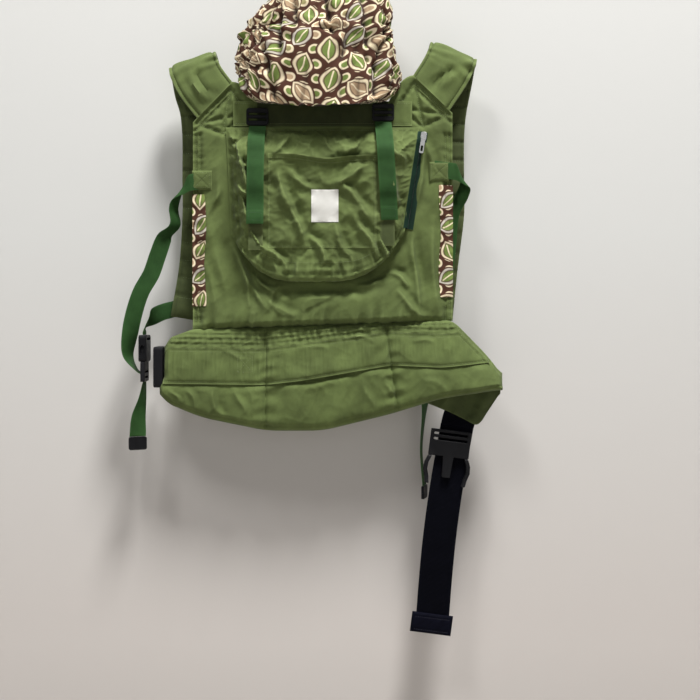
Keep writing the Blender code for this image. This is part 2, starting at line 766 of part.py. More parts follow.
def side_buckles():
    inside = SIDE_BUCKLE_THICKNESS - 2 * BUCKLE_WALL - 2 * BUCKLE_PLAY
    half_inside = inside / 2 + GAP + WEBBING / 2
    left_face = SIDE_BUCKLE_LEFT_X - half_inside
    right_face = SIDE_BUCKLE_RIGHT_Y - half_inside
    body_edge = BODY_HALF
    sewn = -GAP - WEBBING / 2
    top_z = SIDE_MOUTH_Z + SIDE_BUCKLE_LENGTH
    pad_face = STRAP_BACK_Y - 3 + STRAP_THICKNESS / 2 + 1.5 * WEBBING
    lining_face = STRAP_BACK_Y - 3 - STRAP_THICKNESS / 2 - WEBBING
    left_x = SIDE_BUCKLE_LEFT_X
    left_y = SIDE_BUCKLE_LEFT_Y
    right_x = SIDE_BUCKLE_RIGHT_X
    right_y = SIDE_BUCKLE_RIGHT_Y
    places = {
        "left": axes((left_x, left_y, SIDE_MOUTH_Z), (0, 1, 0), (0, 0, 1)),
        "right": axes((right_x, right_y, SIDE_MOUTH_Z), (1, 0, 0), (0, 0, 1)),
    }
    runs = {
        "left": [
            (-body_edge + 27, sewn, -179, 0, 0, 1),
            (-body_edge + 13, sewn, -181, 0, 0, 1),
            (-body_edge - 1, sewn - 1, -183, 0, 0, 1),
            (-body_edge - 8, sewn - 1, -187, 0.1, 0, 1),
            (-body_edge - 21, 0, -202, 0.5, 0.6, 0.6),
            (-body_edge - 31, 3, -219, 0.4, 0.9, 0.1),
            (-body_edge - 34, 4, -240, 0.7, 0.7, 0),
            (-body_edge - 40, 2, -268, 1, 0.4, 0.2),
            (-body_edge - 58, 0, -300, 1, 0.1, 0.3),
            (-body_edge - 76, -1, -348, 1, 0, 0.3),
            (-body_edge - 93, 2, -404, 0.9, 0.4, 0.2),
            (-body_edge - 99, 6, -440, 0.5, 0.85, 0),
            (left_face - 9, left_y, -463, 0, 1, 0),
            (left_face - GAP, left_y, -470, 0, 1, 0),
        ],
        "right": [
            (body_edge - 27, sewn, -163, 0, 0, -1),
            (body_edge - 13, sewn, -165, 0, 0, -1),
            (body_edge + 1, sewn - 1, -167, 0, 0, -1),
            (body_edge + 8, sewn - 1, -170, 0.1, 0, -1),
            (body_edge + 19, 2, -186, 0.5, -0.7, -0.5),
            (body_edge + 13, 12, -206, 0.8, -0.6, -0.1),
            (body_edge - 1, 16, -232, 1, -0.2, 0),
            (body_edge - 6, 16, -280, 1, 0, 0),
            (body_edge - 14, 15, -345, 1, 0, 0),
            (body_edge - 27, 14, -405, 1, 0, 0),
            (right_x + 3, 14, -450, 1, 0, 0),
            (right_x, right_face - 5, -463, 1, 0, 0),
            (right_x, right_face - GAP, -470, 1, 0, 0),
        ],
    }
    ends = {
        "left": [
            (-STRAP_BACK_X - 27, pad_face, -370, 0, 0, 1),
            (-STRAP_BACK_X - 52, pad_face, -373, 0, 0, 1),
            (-STRAP_BACK_X - 76, pad_face - 6, -381, 0.3, 0.3, 1),
            (left_x + 1, left_y + 15, -395, 0.2, 1, 0.6),
            (left_x, left_y + 1, top_z + 5, 0, 1, 0.1),
            (left_x, left_y, top_z + GAP, 0, 1, 0),
        ],
        "right": [
            (right_x + 6, lining_face, -360, 1, 0, 0),
            (right_x + 4, lining_face, -385, 1, 0, 0),
            (right_x + 1, lerp(lining_face, right_y, 0.5), -400, 1, 0, 0),
            (right_x, right_y, top_z + GAP, 1, 0, 0),
        ],
    }
    low_z = SIDE_MOUTH_Z - MALE_BASE - GAP
    tails = {
        "left": [
            (left_x, left_y, low_z, 0, 1, 0),
            (left_x - 3, left_y - 2, low_z - 25, 0.3, 1, 0),
            (left_x - 8, left_y - 5, low_z - 52, 0.7, 0.7, 0),
            (left_x - 9, left_y - 7, low_z - 82, 0.9, 0.4, 0),
        ],
        "right": [
            (right_x, right_y, low_z, 1, 0, 0),
            (right_x - 2, right_y + 4, low_z - 40, 0.4, 0.9, 0),
            (right_x - 7, right_y + 9, low_z - 105, 0.2, 1, 0),
            (right_x - 2, right_y + 10, low_z - 160, 0.3, 1, 0),
        ],
    }
    for side, place in places.items():
        female_half(
            f"side_buckle_female_{side}", SIDE_WEBBING, SIDE_BUCKLE_LENGTH, SIDE_BUCKLE_THICKNESS, place
        )
        mouth = place.translation
        name = f"side_buckle_male_{side}"
        male_half(name, SIDE_WEBBING, MALE_BASE, MALE_TINES, inside, place, mouth)
        webbing(f"side_webbing_{side}", runs[side], SIDE_WEBBING, WEBBING, GREEN_WEBBING_LOOK, 40)
        webbing(f"strap_end_webbing_{side}", ends[side], SIDE_WEBBING, WEBBING, GREEN_WEBBING_LOOK, 14)
        webbing(f"side_tail_{side}", tails[side], SIDE_WEBBING, WEBBING, GREEN_WEBBING_LOOK, 12, mouth)
        end = tails[side][-1]
        tab_centre = Vector(end[:3]) - Vector((0, 0, GAP + TAIL_TAB_HEIGHT / 2))
        plate(
            f"side_tail_tab_{side}",
            rounded(TAIL_TAB_WIDTH, TAIL_TAB_HEIGHT, 3.0),
            [],
            TAIL_TAB_THICKNESS,
            axes(tab_centre, end[3:], (0, 0, 1)),
            PLASTIC_LOOK,
            0.8,
            mouth,
        )


# Chest strap: one buckled webbing between sliders that run on tracks on the shoulder straps


def chest_strap():
    face = STRAP_BACK_Y - STRAP_THICKNESS / 2 - GAP
    track_y = face - WEBBING / 2
    slider_y = face - WEBBING - GAP - CHEST_SLIDER_THICKNESS / 2
    web_y = slider_y
    length = CHEST_FEMALE_LENGTH
    centre = (0.0, web_y, CHEST_Z)
    place = axes(centre, (0, 0, 1), (-1, 0, 0))
    thickness = CHEST_BUCKLE_THICKNESS
    inside = thickness - 2 * BUCKLE_WALL - 2 * BUCKLE_PLAY
    base = CHEST_MALE_BASE
    female_half("chest_buckle_female", CHEST_WEBBING, length, thickness, place, centre)
    male_half("chest_buckle_male", CHEST_WEBBING, base, 0.6 * length, inside, place, centre)
    for side, sign in SIDES:
        x = sign * STRAP_BACK_X
        half = CHEST_TRACK_LENGTH / 2
        stations = [(x, track_y, CHEST_Z + half, 1, 0, 0), (x, track_y, CHEST_Z - half, 1, 0, 0)]
        webbing(f"chest_track_{side}", stations, CHEST_TRACK_WIDTH, WEBBING, SHADE_LOOK, 2)
        plate(
            f"chest_slider_{side}",
            rounded(CHEST_SLIDER_WIDTH, CHEST_SLIDER_HEIGHT, 3.0),
            [rounded(BUCKLE_SLOT, CHEST_WEBBING, 1.2, (-sign * (CHEST_SLIDER_WIDTH / 2 - 6), 0), 1)],
            CHEST_SLIDER_THICKNESS,
            axes((x, slider_y, CHEST_Z), (1, 0, 0), (0, 0, 1)),
            PLASTIC_LOOK,
            0.7,
            centre,
        )
        outer = x - sign * (CHEST_SLIDER_WIDTH / 2 + GAP)
        inner = sign * ((base if sign > 0 else length) + GAP)
        stations = []
        for share in (0, 0.35, 0.7, 1):
            drop = CHEST_SAG * math.sin(math.pi * share)
            stations.append((lerp(outer, inner, share), web_y, CHEST_Z - drop, 0, 0, 1))
        webbing(f"chest_strap_{side}", stations, CHEST_WEBBING, WEBBING, GREEN_WEBBING_LOOK, 10, centre)


# Waist belt: canvas over foam with a flat lining, and a stitched band across the middle section


def belt_bottom(x):
    return np.interp(x / BODY_HALF, *zip(*BELT_LOWER_EDGE))


def belt_top(x):
    edge = BELT_LEFT_TOP if x < 0 else BELT_RIGHT_TOP
    return seam_z(x) + np.interp(abs(x) - BODY_HALF, *zip(*edge))


def belt_front(x, share):
    """The crowned front of the belt, drawn in at its edges, vertical seams and lower seam line."""
    crown = BELT_CROWN * (1 - BELT_EDGE_DRAW * abs(2 * share - 1) ** 3)
    near = min(abs(x - seam) for seam in BELT_CHANNEL_X) / BELT_CHANNEL_WIDTH
    crown -= BELT_CHANNEL * max(0.0, 1 - near)
    crown -= BELT_CHANNEL * max(0.0, 1 - abs(share - BELT_SEAM_SHARE) / 0.06)
    return (x, -crown, lerp(belt_top(x), belt_bottom(x), share))


def belt():
    half = BODY_HALF
    left_seam, right_seam = BELT_CHANNEL_X
    channel = BELT_CHANNEL_WIDTH
    middle = [-half, lerp(-half, left_seam, 0.5), left_seam - channel, left_seam, left_seam + channel]
    middle += [lerp(left_seam, right_seam, share) for share in (0.3, 0.5, 0.7)]
    middle += [right_seam - channel, right_seam, right_seam + channel, lerp(right_seam, half, 0.6), half]
    sections = {
        "centre": middle,
        "left": [lerp(BELT_LEFT_X, -half - GAP, share) for share in (0, 0.17, 0.5, 1)],
        "right": [lerp(half + GAP, BELT_RIGHT_X, share) for share in (0, 0.4, 0.7, 0.85, 1)],
    }
    hinges = {
        "centre": (0, 0, 0),
        "left": (-half - GAP / 2, BODY_BACK_Y, SEAM_Z),
        "right": (half + GAP / 2, BODY_BACK_Y, SEAM_Z),
    }
    shares = (0, 0.08, 0.24, 0.5, BELT_SEAM_SHARE, 0.62, 0.8, 0.93, 1)
    band_shares = shares[2:5]
    forward = np.array((0.0, -GAP, 0.0))
    ply = np.array((0.0, -BELT_BAND_PLY, 0.0))
    for section, xs in sections.items():
        origin = hinges[section]
        face = grid(xs, shares, belt_front)
        under = face + np.array((0.0, CANVAS, 0.0))
        layer(f"belt_{section}_cover", face, under, CANVAS_LOOK, origin)
        foam_face = under + np.array((0.0, GAP, 0.0))
        foam_back = foam_face.copy()
        foam_back[:, :, 1] = PADDING_BACK_Y
        layer(f"belt_{section}_foam", foam_face, foam_back, FOAM_LOOK, origin)
        bottom = belt_bottom
        if section == "right":
            bottom = belt_flap
        lining = grid(xs, (0, 1), lambda x, v: (x, BODY_BACK_Y - LINING, bottom(x) if v else belt_top(x)))
        layer(f"belt_{section}_lining", lining, lining + np.array((0.0, LINING, 0.0)), SHADE_LOOK, origin)
        if section == "centre":
            band = grid(xs, band_shares, belt_front) + forward
            layer("belt_band", band + ply, band, CANVAS_LOOK)


def belt_flap(x):
    """The lining's lower edge at the right end, which shows below the canvas."""
    return np.interp(x - BODY_HALF, *zip(*BELT_FLAP_EDGE))


# Waist strap: webbing sewn behind the belt's right end, its buckle halves and its keeper


def waist_strap():
    hinge_y = BODY_BACK_Y + GAP + WAIST_PLY / 2
    hinge = (WAIST_HINGE_X, hinge_y, WAIST_HINGE_Z)
    belt_hinge = (BODY_HALF + GAP / 2, BODY_BACK_Y, SEAM_Z)
    lean = WAIST_STRAP_DRIFT / WAIST_STRAP_LENGTH
    across = (1.0, 0.0, -lean)
    stations = []
    for rise in (WAIST_ANCHOR_RISE, WAIST_ANCHOR_RISE / 2, SWING_GAP):
        x = WAIST_HINGE_X + WAIST_ANCHOR_LEAN * rise
        stations.append((x, hinge_y, WAIST_HINGE_Z + rise, *across))
    webbing("waist_strap_anchor", stations, WAIST_WEBBING, WAIST_PLY, NAVY_WEBBING_LOOK, 5, belt_hinge)
    stations = []
    for share in (0, 0.25, 0.5, 0.75, 1):
        x = WAIST_HINGE_X - WAIST_STRAP_DRIFT * share - WAIST_STRAP_BOW * math.sin(math.pi * share)
        stations.append((x, hinge_y, WAIST_HINGE_Z - WAIST_STRAP_LENGTH * share, *across))
    webbing("waist_strap", stations, WAIST_WEBBING, WAIST_PLY, NAVY_WEBBING_LOOK, 14, hinge)
    end = Vector(stations[-1][:3])
    down = Vector((-lean, 0, -1)).normalized()
    plate(
        "waist_strap_keeper",
        rounded(KEEPER_WIDTH, KEEPER_HEIGHT, 6.0),
        [],
        KEEPER_THICKNESS,
        axes(end + down * (KEEPER_HEIGHT / 2 + GAP), across, -down),
        NAVY_WEBBING_LOOK,
        2.0,
        hinge,
    )
    waist_buckle(hinge, across)


def waist_buckle(hinge, across):
    """The male half on the webbing, with its two springy prongs, and the female half on the belt."""
    lean = math.atan2(-across[2], across[0])
    down = Vector((-math.sin(lean), 0, -math.cos(lean)))
    side = Vector((math.cos(lean), 0, -math.sin(lean)))
    plate_y = hinge[1] - WAIST_PLY / 2 - GAP - WAIST_MALE_THICKNESS / 2
    half = WAIST_WEBBING / 2 + BUCKLE_SIDE
    top_drop = WAIST_MALE_DROP + half * math.sin(lean)
    base_end = Vector((hinge[0], plate_y, hinge[2])) + down * (top_drop + WAIST_MALE_BASE)
    base_end -= side * WAIST_MALE_SHIFT
    place = axes(base_end, -side, down)
    base = WAIST_MALE_BASE
    tongue = TONGUE_WIDTH / 2
    tip = 0.8 * tongue
    reach = 0.75 * PRONG_LENGTH
    outline = [(-half, -base), (half, -base), (half, 0), (tongue, 0)]
    outline += [(tip, reach), (-tip, reach), (-tongue, 0), (-half, 0)]
    slots = []
    for number in range(2):
        middle = -base + BUCKLE_BAR + BUCKLE_SLOT / 2 + number * (BUCKLE_BAR + BUCKLE_SLOT)
        slots.append(rounded(WAIST_WEBBING + 1, BUCKLE_SLOT, 1.0, (0, middle), 1))
    plate("waist_buckle_male", outline, slots, WAIST_MALE_THICKNESS, place, PLASTIC_LOOK, 0.9, hinge)
    for side_name, sign in (("left", 1.0), ("right", -1.0)):
        root = half - PRONG_WIDTH / 2
        outline = []
        for share in (0, 0.25, 0.5, 0.75, 1.0):
            bow = PRONG_BOW * math.sin(math.pi * min(1.0, share * 1.2))
            outline.append((sign * (root + bow + PRONG_WIDTH / 2), PRONG_ROOT_GAP + share * PRONG_LENGTH))
        for share in (1.0, 0.75, 0.5, 0.25, 0):
            bow = PRONG_BOW * math.sin(math.pi * min(1.0, share * 1.2))
            outline.append((sign * (root + bow - PRONG_WIDTH / 2), PRONG_ROOT_GAP + share * PRONG_LENGTH))
        pivot = place @ Vector((sign * root, PRONG_ROOT_GAP, 0))
        plate(
            f"waist_prong_{side_name}", outline, [], WAIST_MALE_THICKNESS, place, PLASTIC_LOOK, 0.9, pivot
        )
    belt_hinge = (-BODY_HALF - GAP / 2, BODY_BACK_Y, SEAM_Z)
    female_x = BELT_LEFT_X - GAP - WAIST_BUCKLE_THICKNESS / 2
    mouth_y = WAIST_FEMALE_Y + WAIST_BUCKLE_LENGTH / 2
    female_half(
        "waist_buckle_female",
        WAIST_WEBBING,
        WAIST_BUCKLE_LENGTH,
        WAIST_BUCKLE_THICKNESS,
        axes((female_x, mouth_y, WAIST_FEMALE_Z), (0, 0, 1), (0, -1, 0)),
        belt_hinge,
    )


body()
body_trims()
hood()
hood_straps()
pouch()
zip_fastener()
shoulder_straps()
side_buckles()
chest_strap()
belt()
waist_strap()
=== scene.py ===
import json
import math

import bmesh
import bpy
import numpy as np
from mathutils import Vector
from mathutils.bvhtree import BVHTree
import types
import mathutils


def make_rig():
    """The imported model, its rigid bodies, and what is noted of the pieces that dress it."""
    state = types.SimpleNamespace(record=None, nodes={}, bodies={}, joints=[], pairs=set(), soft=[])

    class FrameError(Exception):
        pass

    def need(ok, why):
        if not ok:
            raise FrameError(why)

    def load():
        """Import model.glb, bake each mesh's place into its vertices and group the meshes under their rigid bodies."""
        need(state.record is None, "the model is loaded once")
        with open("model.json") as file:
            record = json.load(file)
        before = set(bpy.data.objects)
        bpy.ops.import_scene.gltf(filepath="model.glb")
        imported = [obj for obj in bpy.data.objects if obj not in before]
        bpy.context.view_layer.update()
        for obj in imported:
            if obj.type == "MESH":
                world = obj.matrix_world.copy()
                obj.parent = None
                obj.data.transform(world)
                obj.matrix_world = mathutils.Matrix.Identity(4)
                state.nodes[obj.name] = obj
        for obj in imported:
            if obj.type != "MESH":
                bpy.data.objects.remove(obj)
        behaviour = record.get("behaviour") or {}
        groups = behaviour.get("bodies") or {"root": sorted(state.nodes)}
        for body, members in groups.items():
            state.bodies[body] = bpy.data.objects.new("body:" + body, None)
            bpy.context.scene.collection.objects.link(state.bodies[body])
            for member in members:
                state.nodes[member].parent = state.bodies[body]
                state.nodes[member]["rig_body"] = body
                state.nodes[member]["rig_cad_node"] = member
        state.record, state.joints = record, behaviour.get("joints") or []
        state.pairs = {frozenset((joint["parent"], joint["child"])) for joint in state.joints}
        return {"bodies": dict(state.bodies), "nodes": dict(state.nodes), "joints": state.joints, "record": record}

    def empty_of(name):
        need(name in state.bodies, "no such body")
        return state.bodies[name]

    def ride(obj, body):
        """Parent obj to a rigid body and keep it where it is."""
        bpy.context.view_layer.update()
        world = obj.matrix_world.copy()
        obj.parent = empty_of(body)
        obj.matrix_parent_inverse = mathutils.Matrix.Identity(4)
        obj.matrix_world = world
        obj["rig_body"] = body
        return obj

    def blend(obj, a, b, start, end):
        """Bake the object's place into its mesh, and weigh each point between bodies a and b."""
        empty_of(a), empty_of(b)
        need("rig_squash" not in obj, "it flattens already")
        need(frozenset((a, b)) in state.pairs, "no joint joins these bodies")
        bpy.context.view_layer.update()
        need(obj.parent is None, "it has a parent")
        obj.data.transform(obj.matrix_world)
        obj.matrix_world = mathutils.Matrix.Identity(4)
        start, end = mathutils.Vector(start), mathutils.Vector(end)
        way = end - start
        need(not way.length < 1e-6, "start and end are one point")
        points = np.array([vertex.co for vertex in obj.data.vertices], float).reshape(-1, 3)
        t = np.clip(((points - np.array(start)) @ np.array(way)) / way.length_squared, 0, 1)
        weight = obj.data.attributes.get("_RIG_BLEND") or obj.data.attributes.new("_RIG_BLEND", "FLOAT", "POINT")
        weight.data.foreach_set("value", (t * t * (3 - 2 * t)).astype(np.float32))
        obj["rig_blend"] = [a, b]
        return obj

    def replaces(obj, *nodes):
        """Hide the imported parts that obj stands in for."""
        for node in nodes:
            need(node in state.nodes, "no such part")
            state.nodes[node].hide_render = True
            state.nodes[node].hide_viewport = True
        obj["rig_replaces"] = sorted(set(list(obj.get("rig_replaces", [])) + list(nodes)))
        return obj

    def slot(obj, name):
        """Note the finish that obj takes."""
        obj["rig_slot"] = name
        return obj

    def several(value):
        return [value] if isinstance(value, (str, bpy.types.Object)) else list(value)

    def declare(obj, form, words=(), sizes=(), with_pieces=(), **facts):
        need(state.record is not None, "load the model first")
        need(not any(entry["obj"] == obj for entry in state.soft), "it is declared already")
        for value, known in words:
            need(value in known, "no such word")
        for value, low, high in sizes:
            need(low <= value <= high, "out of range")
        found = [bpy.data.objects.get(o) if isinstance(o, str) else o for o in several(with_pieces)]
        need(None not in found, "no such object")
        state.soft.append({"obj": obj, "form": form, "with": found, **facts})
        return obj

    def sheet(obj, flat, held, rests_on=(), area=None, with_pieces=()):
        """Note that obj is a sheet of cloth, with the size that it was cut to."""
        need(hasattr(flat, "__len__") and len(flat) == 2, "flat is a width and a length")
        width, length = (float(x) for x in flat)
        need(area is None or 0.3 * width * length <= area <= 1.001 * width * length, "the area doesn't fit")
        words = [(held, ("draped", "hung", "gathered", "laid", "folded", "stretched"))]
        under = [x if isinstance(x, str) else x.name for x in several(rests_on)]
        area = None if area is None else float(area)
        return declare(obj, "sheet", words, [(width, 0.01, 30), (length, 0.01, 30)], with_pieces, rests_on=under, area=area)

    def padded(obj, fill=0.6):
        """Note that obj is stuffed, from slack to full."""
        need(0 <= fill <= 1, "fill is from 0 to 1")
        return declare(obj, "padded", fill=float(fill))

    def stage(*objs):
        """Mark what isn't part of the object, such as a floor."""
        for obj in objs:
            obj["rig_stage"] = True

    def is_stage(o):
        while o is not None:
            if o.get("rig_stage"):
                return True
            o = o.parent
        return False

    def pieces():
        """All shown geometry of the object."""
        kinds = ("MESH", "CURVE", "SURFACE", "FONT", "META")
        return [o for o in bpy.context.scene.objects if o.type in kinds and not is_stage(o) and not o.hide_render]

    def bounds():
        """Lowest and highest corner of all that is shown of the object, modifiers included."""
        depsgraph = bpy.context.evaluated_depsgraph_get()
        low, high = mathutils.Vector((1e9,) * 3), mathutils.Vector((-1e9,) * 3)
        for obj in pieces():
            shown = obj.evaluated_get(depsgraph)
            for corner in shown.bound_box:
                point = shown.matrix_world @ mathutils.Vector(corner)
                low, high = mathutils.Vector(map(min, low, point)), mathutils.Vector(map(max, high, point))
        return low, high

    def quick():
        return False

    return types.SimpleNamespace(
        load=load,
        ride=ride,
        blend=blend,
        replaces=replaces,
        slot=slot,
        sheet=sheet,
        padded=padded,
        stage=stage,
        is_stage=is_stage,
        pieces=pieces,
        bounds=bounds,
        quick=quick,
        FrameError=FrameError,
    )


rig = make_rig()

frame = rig.load()
cad_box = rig.bounds()

# Body panel: the upright panel that holds the child. A washed cotton canvas face is sewn over thin
# padding along both sides, the neckline and the belt seam, so the cloth drags into soft folds above
# the belt and round the pocket. All lengths in this file are millimetres until a mesh is made.
MM = 0.001
SLOPE = 0.035
HALF_BODY, BODY_HEIGHT = 195.0, 330
ROOT_X, ROOT_Z = 136.5, -27.0
NECK_X, NECK_Z = 98.0, -64.0
SEAM_Z = -398.0
POUCH_TOP = -101.0
TO_VIEWER, TO_WALL = (0, -1, 0), (0, 1, 0)


def seam_z(x):
    return SEAM_Z + SLOPE * x


def body_top(x):
    """The panel's upper edge: it falls away along each strap's root and dips to the neckline between."""
    root = ROOT_Z + SLOPE * x - (np.abs(x) - ROOT_X)
    inner = ROOT_Z + SLOPE * np.sign(x) * ROOT_X
    share = np.clip((ROOT_X - np.abs(x)) / (ROOT_X - NECK_X), 0, 1)
    return np.where(np.abs(x) >= ROOT_X, root, inner + (NECK_Z - inner) * share**2)


def ease(share):
    share = np.clip(share, 0, 1)
    return share * share * (3 - 2 * share)


def bell(away, width):
    """1 where away is nothing, dying off to both sides over the width."""
    return np.exp(-((away / width) ** 2))


def plane(across, down):
    return np.meshgrid(across, down, indexing="ij")


def steps(*parts):
    """Places in rows of even steps. Each part is a start, an end and a count."""
    return np.unique(np.concatenate([np.linspace(*part) for part in parts]))


def unit(rows):
    return rows / np.maximum(np.linalg.norm(rows, axis=-1, keepdims=True), 1e-9)


def walk(points):
    """How far along the line through the points each of them lies."""
    return np.concatenate(([0], np.cumsum(np.linalg.norm(np.diff(points, axis=0), axis=1))))


def ripples(x, z, seed, crest, pitch, spread=25.0, count=14):
    """Loose waves in cloth. Their crests run at the crest angle, in degrees from level."""
    chance = np.random.default_rng(seed)
    total = np.zeros_like(x, dtype=float)
    for _ in range(count):
        turn = math.radians(crest + 90 + chance.normal(0, spread))
        beat = 2 * math.pi / (pitch * chance.uniform(0.65, 1.7))
        total += np.cos(beat * (x * math.cos(turn) + z * math.sin(turn)) + chance.uniform(0, 6.28))
    return total / math.sqrt(count / 2)


def creases(x, z, seed, crest, pitch, spread=30.0):
    """Narrow-crested creases, as cotton keeps them after washing."""
    wander = ripples(x, z, seed + 50, crest + 60, pitch * 3.0, 60.0, 6)
    wave = np.tanh(0.9 * ripples(x + 4 * wander, z + 3 * wander, seed, crest, pitch, spread))
    return 1.3 - 1.6 * np.sqrt(wave**2 + 0.07)


def fold(x, z, start, end, width, height):
    """One soft fold from start to end, with a hollow beside its steeper side, dying away at both ends."""
    run = np.subtract(end, start)
    length = np.hypot(*run)
    along = ((x - start[0]) * run[0] + (z - start[1]) * run[1]) / length**2
    away = ((x - start[0]) * run[1] - (z - start[1]) * run[0]) / length
    away = away + 3.0 * np.sin(along * 5.0 + start[0])
    reach = np.where(away > 0, width, width * 0.55)
    fade = np.sin(np.pi * np.clip(along, 0, 1)) ** 0.6 * ((along > 0) & (along < 1))
    beside = 0.5 * bell(away + 1.5 * width, 0.9 * width)
    return height * fade * (bell(away, reach) - beside)


def sewn_line(x, z, line, seed, depth, pucker, width, reach):
    """How far cloth sinks along a stitched line, and the small puckers that the thread pulls in."""
    away = np.full(np.shape(x), 1e9)
    place = np.zeros(np.shape(x))
    walked = 0.0
    for (ax, az), (bx, bz) in zip(line, line[1:]):
        length = math.hypot(bx - ax, bz - az)
        share = np.clip(((x - ax) * (bx - ax) + (z - az) * (bz - az)) / length**2, 0, 1)
        here = np.hypot(x - ax - share * (bx - ax), z - az - share * (bz - az))
        place = np.where(here < away, walked + share * length, place)
        away = np.minimum(away, here)
        walked += length
    chance = np.random.default_rng(seed)
    beat = np.zeros_like(place)
    for _ in range(6):
        beat += np.cos(2 * np.pi * place / chance.uniform(7, 19) + chance.uniform(0, 6.28)) / 2.4
    return depth * bell(away, width) - pucker * beat * bell(away, reach)


def quads(rows, columns):
    """The numbers of a grid's points, and the faces between them."""
    at = np.arange(rows * columns).reshape(rows, columns)
    return at, np.stack((at[:-1, :-1], at[1:, :-1], at[1:, 1:], at[:-1, 1:]), -1).reshape(-1, 4)


def new_object(name, verts, faces, uvs=None):
    mesh = bpy.data.meshes.new(name)
    mesh.from_pydata((np.asarray(verts) * MM).tolist(), [], [tuple(f) for f in faces])
    if uvs is not None:
        cut = mesh.uv_layers.new(name="cut")
        loops = np.empty(len(mesh.loops), np.int32)
        mesh.loops.foreach_get("vertex_index", loops)
        cut.data.foreach_set("uv", (np.asarray(uvs)[loops] * MM).astype(np.float32).ravel())
    mesh.shade_smooth()
    obj = bpy.data.objects.new(name, mesh)
    bpy.context.scene.collection.objects.link(obj)
    return obj


def face_outward(mesh, weld=False):
    bm = bmesh.new()
    bm.from_mesh(mesh)
    if weld:
        bmesh.ops.remove_doubles(bm, verts=bm.verts, dist=1e-6)
    bmesh.ops.recalc_face_normals(bm, faces=bm.faces)
    bm.to_mesh(mesh)
    bm.free()


def sewn_shell(name, front, back, looks, pinch, uv=None):
    """A closed shell between a front grid of points and a back one, or a cloth's thickness behind it.
    looks are the materials of the front, the back and the edge. pinch draws the edge of both faces
    together, as a turned seam does. The cloth is cut as it lies from the front, unless uv says how."""
    back = front + np.array((0, back, 0)) if np.isscalar(back) else back.copy()
    flat = (front[..., ::2] if uv is None else uv).reshape(-1, 2)
    front = front.copy()
    rows, columns = front.shape[:2]
    rim = np.zeros((rows, columns), bool)
    rim[[0, -1], :] = True
    rim[:, [0, -1]] = True
    middle = (front[rim] + back[rim]) / 2
    front[rim] += (middle - front[rim]) * pinch
    back[rim] += (middle - back[rim]) * pinch
    at, near = quads(rows, columns)
    far = near[:, ::-1] + rows * columns
    loop = np.concatenate((at[0, :-1], at[:-1, -1], at[-1, :0:-1], at[:0:-1, 0]))
    following = np.roll(loop, -1)
    edge = np.stack((loop, following, following + rows * columns, loop + rows * columns), -1)
    points = np.vstack((front.reshape(-1, 3), back.reshape(-1, 3)))
    obj = new_object(name, points, np.vstack((near, far, edge)), np.vstack((flat, flat)))
    for look in looks:
        obj.data.materials.append(look)
    last = len(looks) - 1
    part = np.repeat((0, min(1, last), min(2, last)), (len(near), len(far), len(edge)))
    obj.data.polygons.foreach_set("material_index", part.astype(np.int32))
    face_outward(obj.data)
    obj.data.set_sharp_from_angle(angle=math.radians(55))
    return obj


class Look:
    """A Principled material. Its constants are on its own sockets, and texture nodes are added to it."""

    def __init__(self, name, colour, roughness=0.85, sheen=0.0, metallic=0.0, gloss=0.25):
        self.material = bpy.data.materials.new(name)
        self.material.use_nodes = True
        self.tree = self.material.node_tree
        self.shader = self.tree.nodes["Principled BSDF"]
        self.give("Base Color", (*colour, 1))
        self.give("Roughness", roughness)
        self.give("Metallic", metallic)
        self.give("Sheen Weight", sheen)
        self.give("Sheen Roughness", 0.4)
        self.give("Specular IOR Level", gloss)

    def give(self, socket, value, node=None):
        """Sets an input to a value, or links another node's output to it."""
        socket = (node or self.shader).inputs[socket]
        if isinstance(value, bpy.types.NodeSocket):
            self.tree.links.new(value, socket)
        else:
            socket.default_value = value

    def add(self, kind, links=(), out=0, **settings):
        """Adds a node with its inputs and settings, and returns one of its outputs."""
        node = self.tree.nodes.new("ShaderNode" + kind)
        for key, value in settings.items():
            setattr(node, key, value)
        for socket, value in dict(links).items():
            self.give(socket, value, node)
        return node.outputs[out]

    def cut(self):
        return self.add("UVMap", uv_map="cut")

    def place(self):
        return self.add("TexCoord", out="Object")

    def raised(self):
        return self.add("NewGeometry", out="Pointiness")

    def noise(self, place, scale, detail=2.0, rough=0.5, out=0):
        return self.add("TexNoise", {0: place, 2: scale, 3: detail, 4: rough}, out)

    def wave(self, place, scale, bend, detail=2.0, way="X"):
        return self.add("TexWave", {0: place, 1: scale, 2: bend, 3: detail}, 1, bands_direction=way)

    def math(self, operation, *values):
        return self.add("Math", dict(enumerate(values)), operation=operation)

    def plain_weave(self, cut, scale, bend):
        return self.math("ADD", self.wave(cut, scale, bend), self.wave(cut, scale, bend, way="Y"))

    def ramp(self, source, low, high, first=0.0, last=1.0):
        """A number spread from first, where the source is low, to last, where it is high."""
        return self.add("MapRange", {0: source, 1: low, 2: high, 3: first, 4: last})

    def mix(self, factor, first, second, how="MIX"):
        """A colour between the first and the second."""
        pair = [c if isinstance(c, bpy.types.NodeSocket) else (*c[:3], 1) for c in (first, second)]
        return self.add("Mix", {0: factor, 6: pair[0], 7: pair[1]}, 2, data_type="RGBA", blend_type=how)

    def relief(self, height, strength, distance):
        links = {"Strength": strength, "Distance": distance, "Height": height}
        self.give("Normal", self.add("Bump", links))


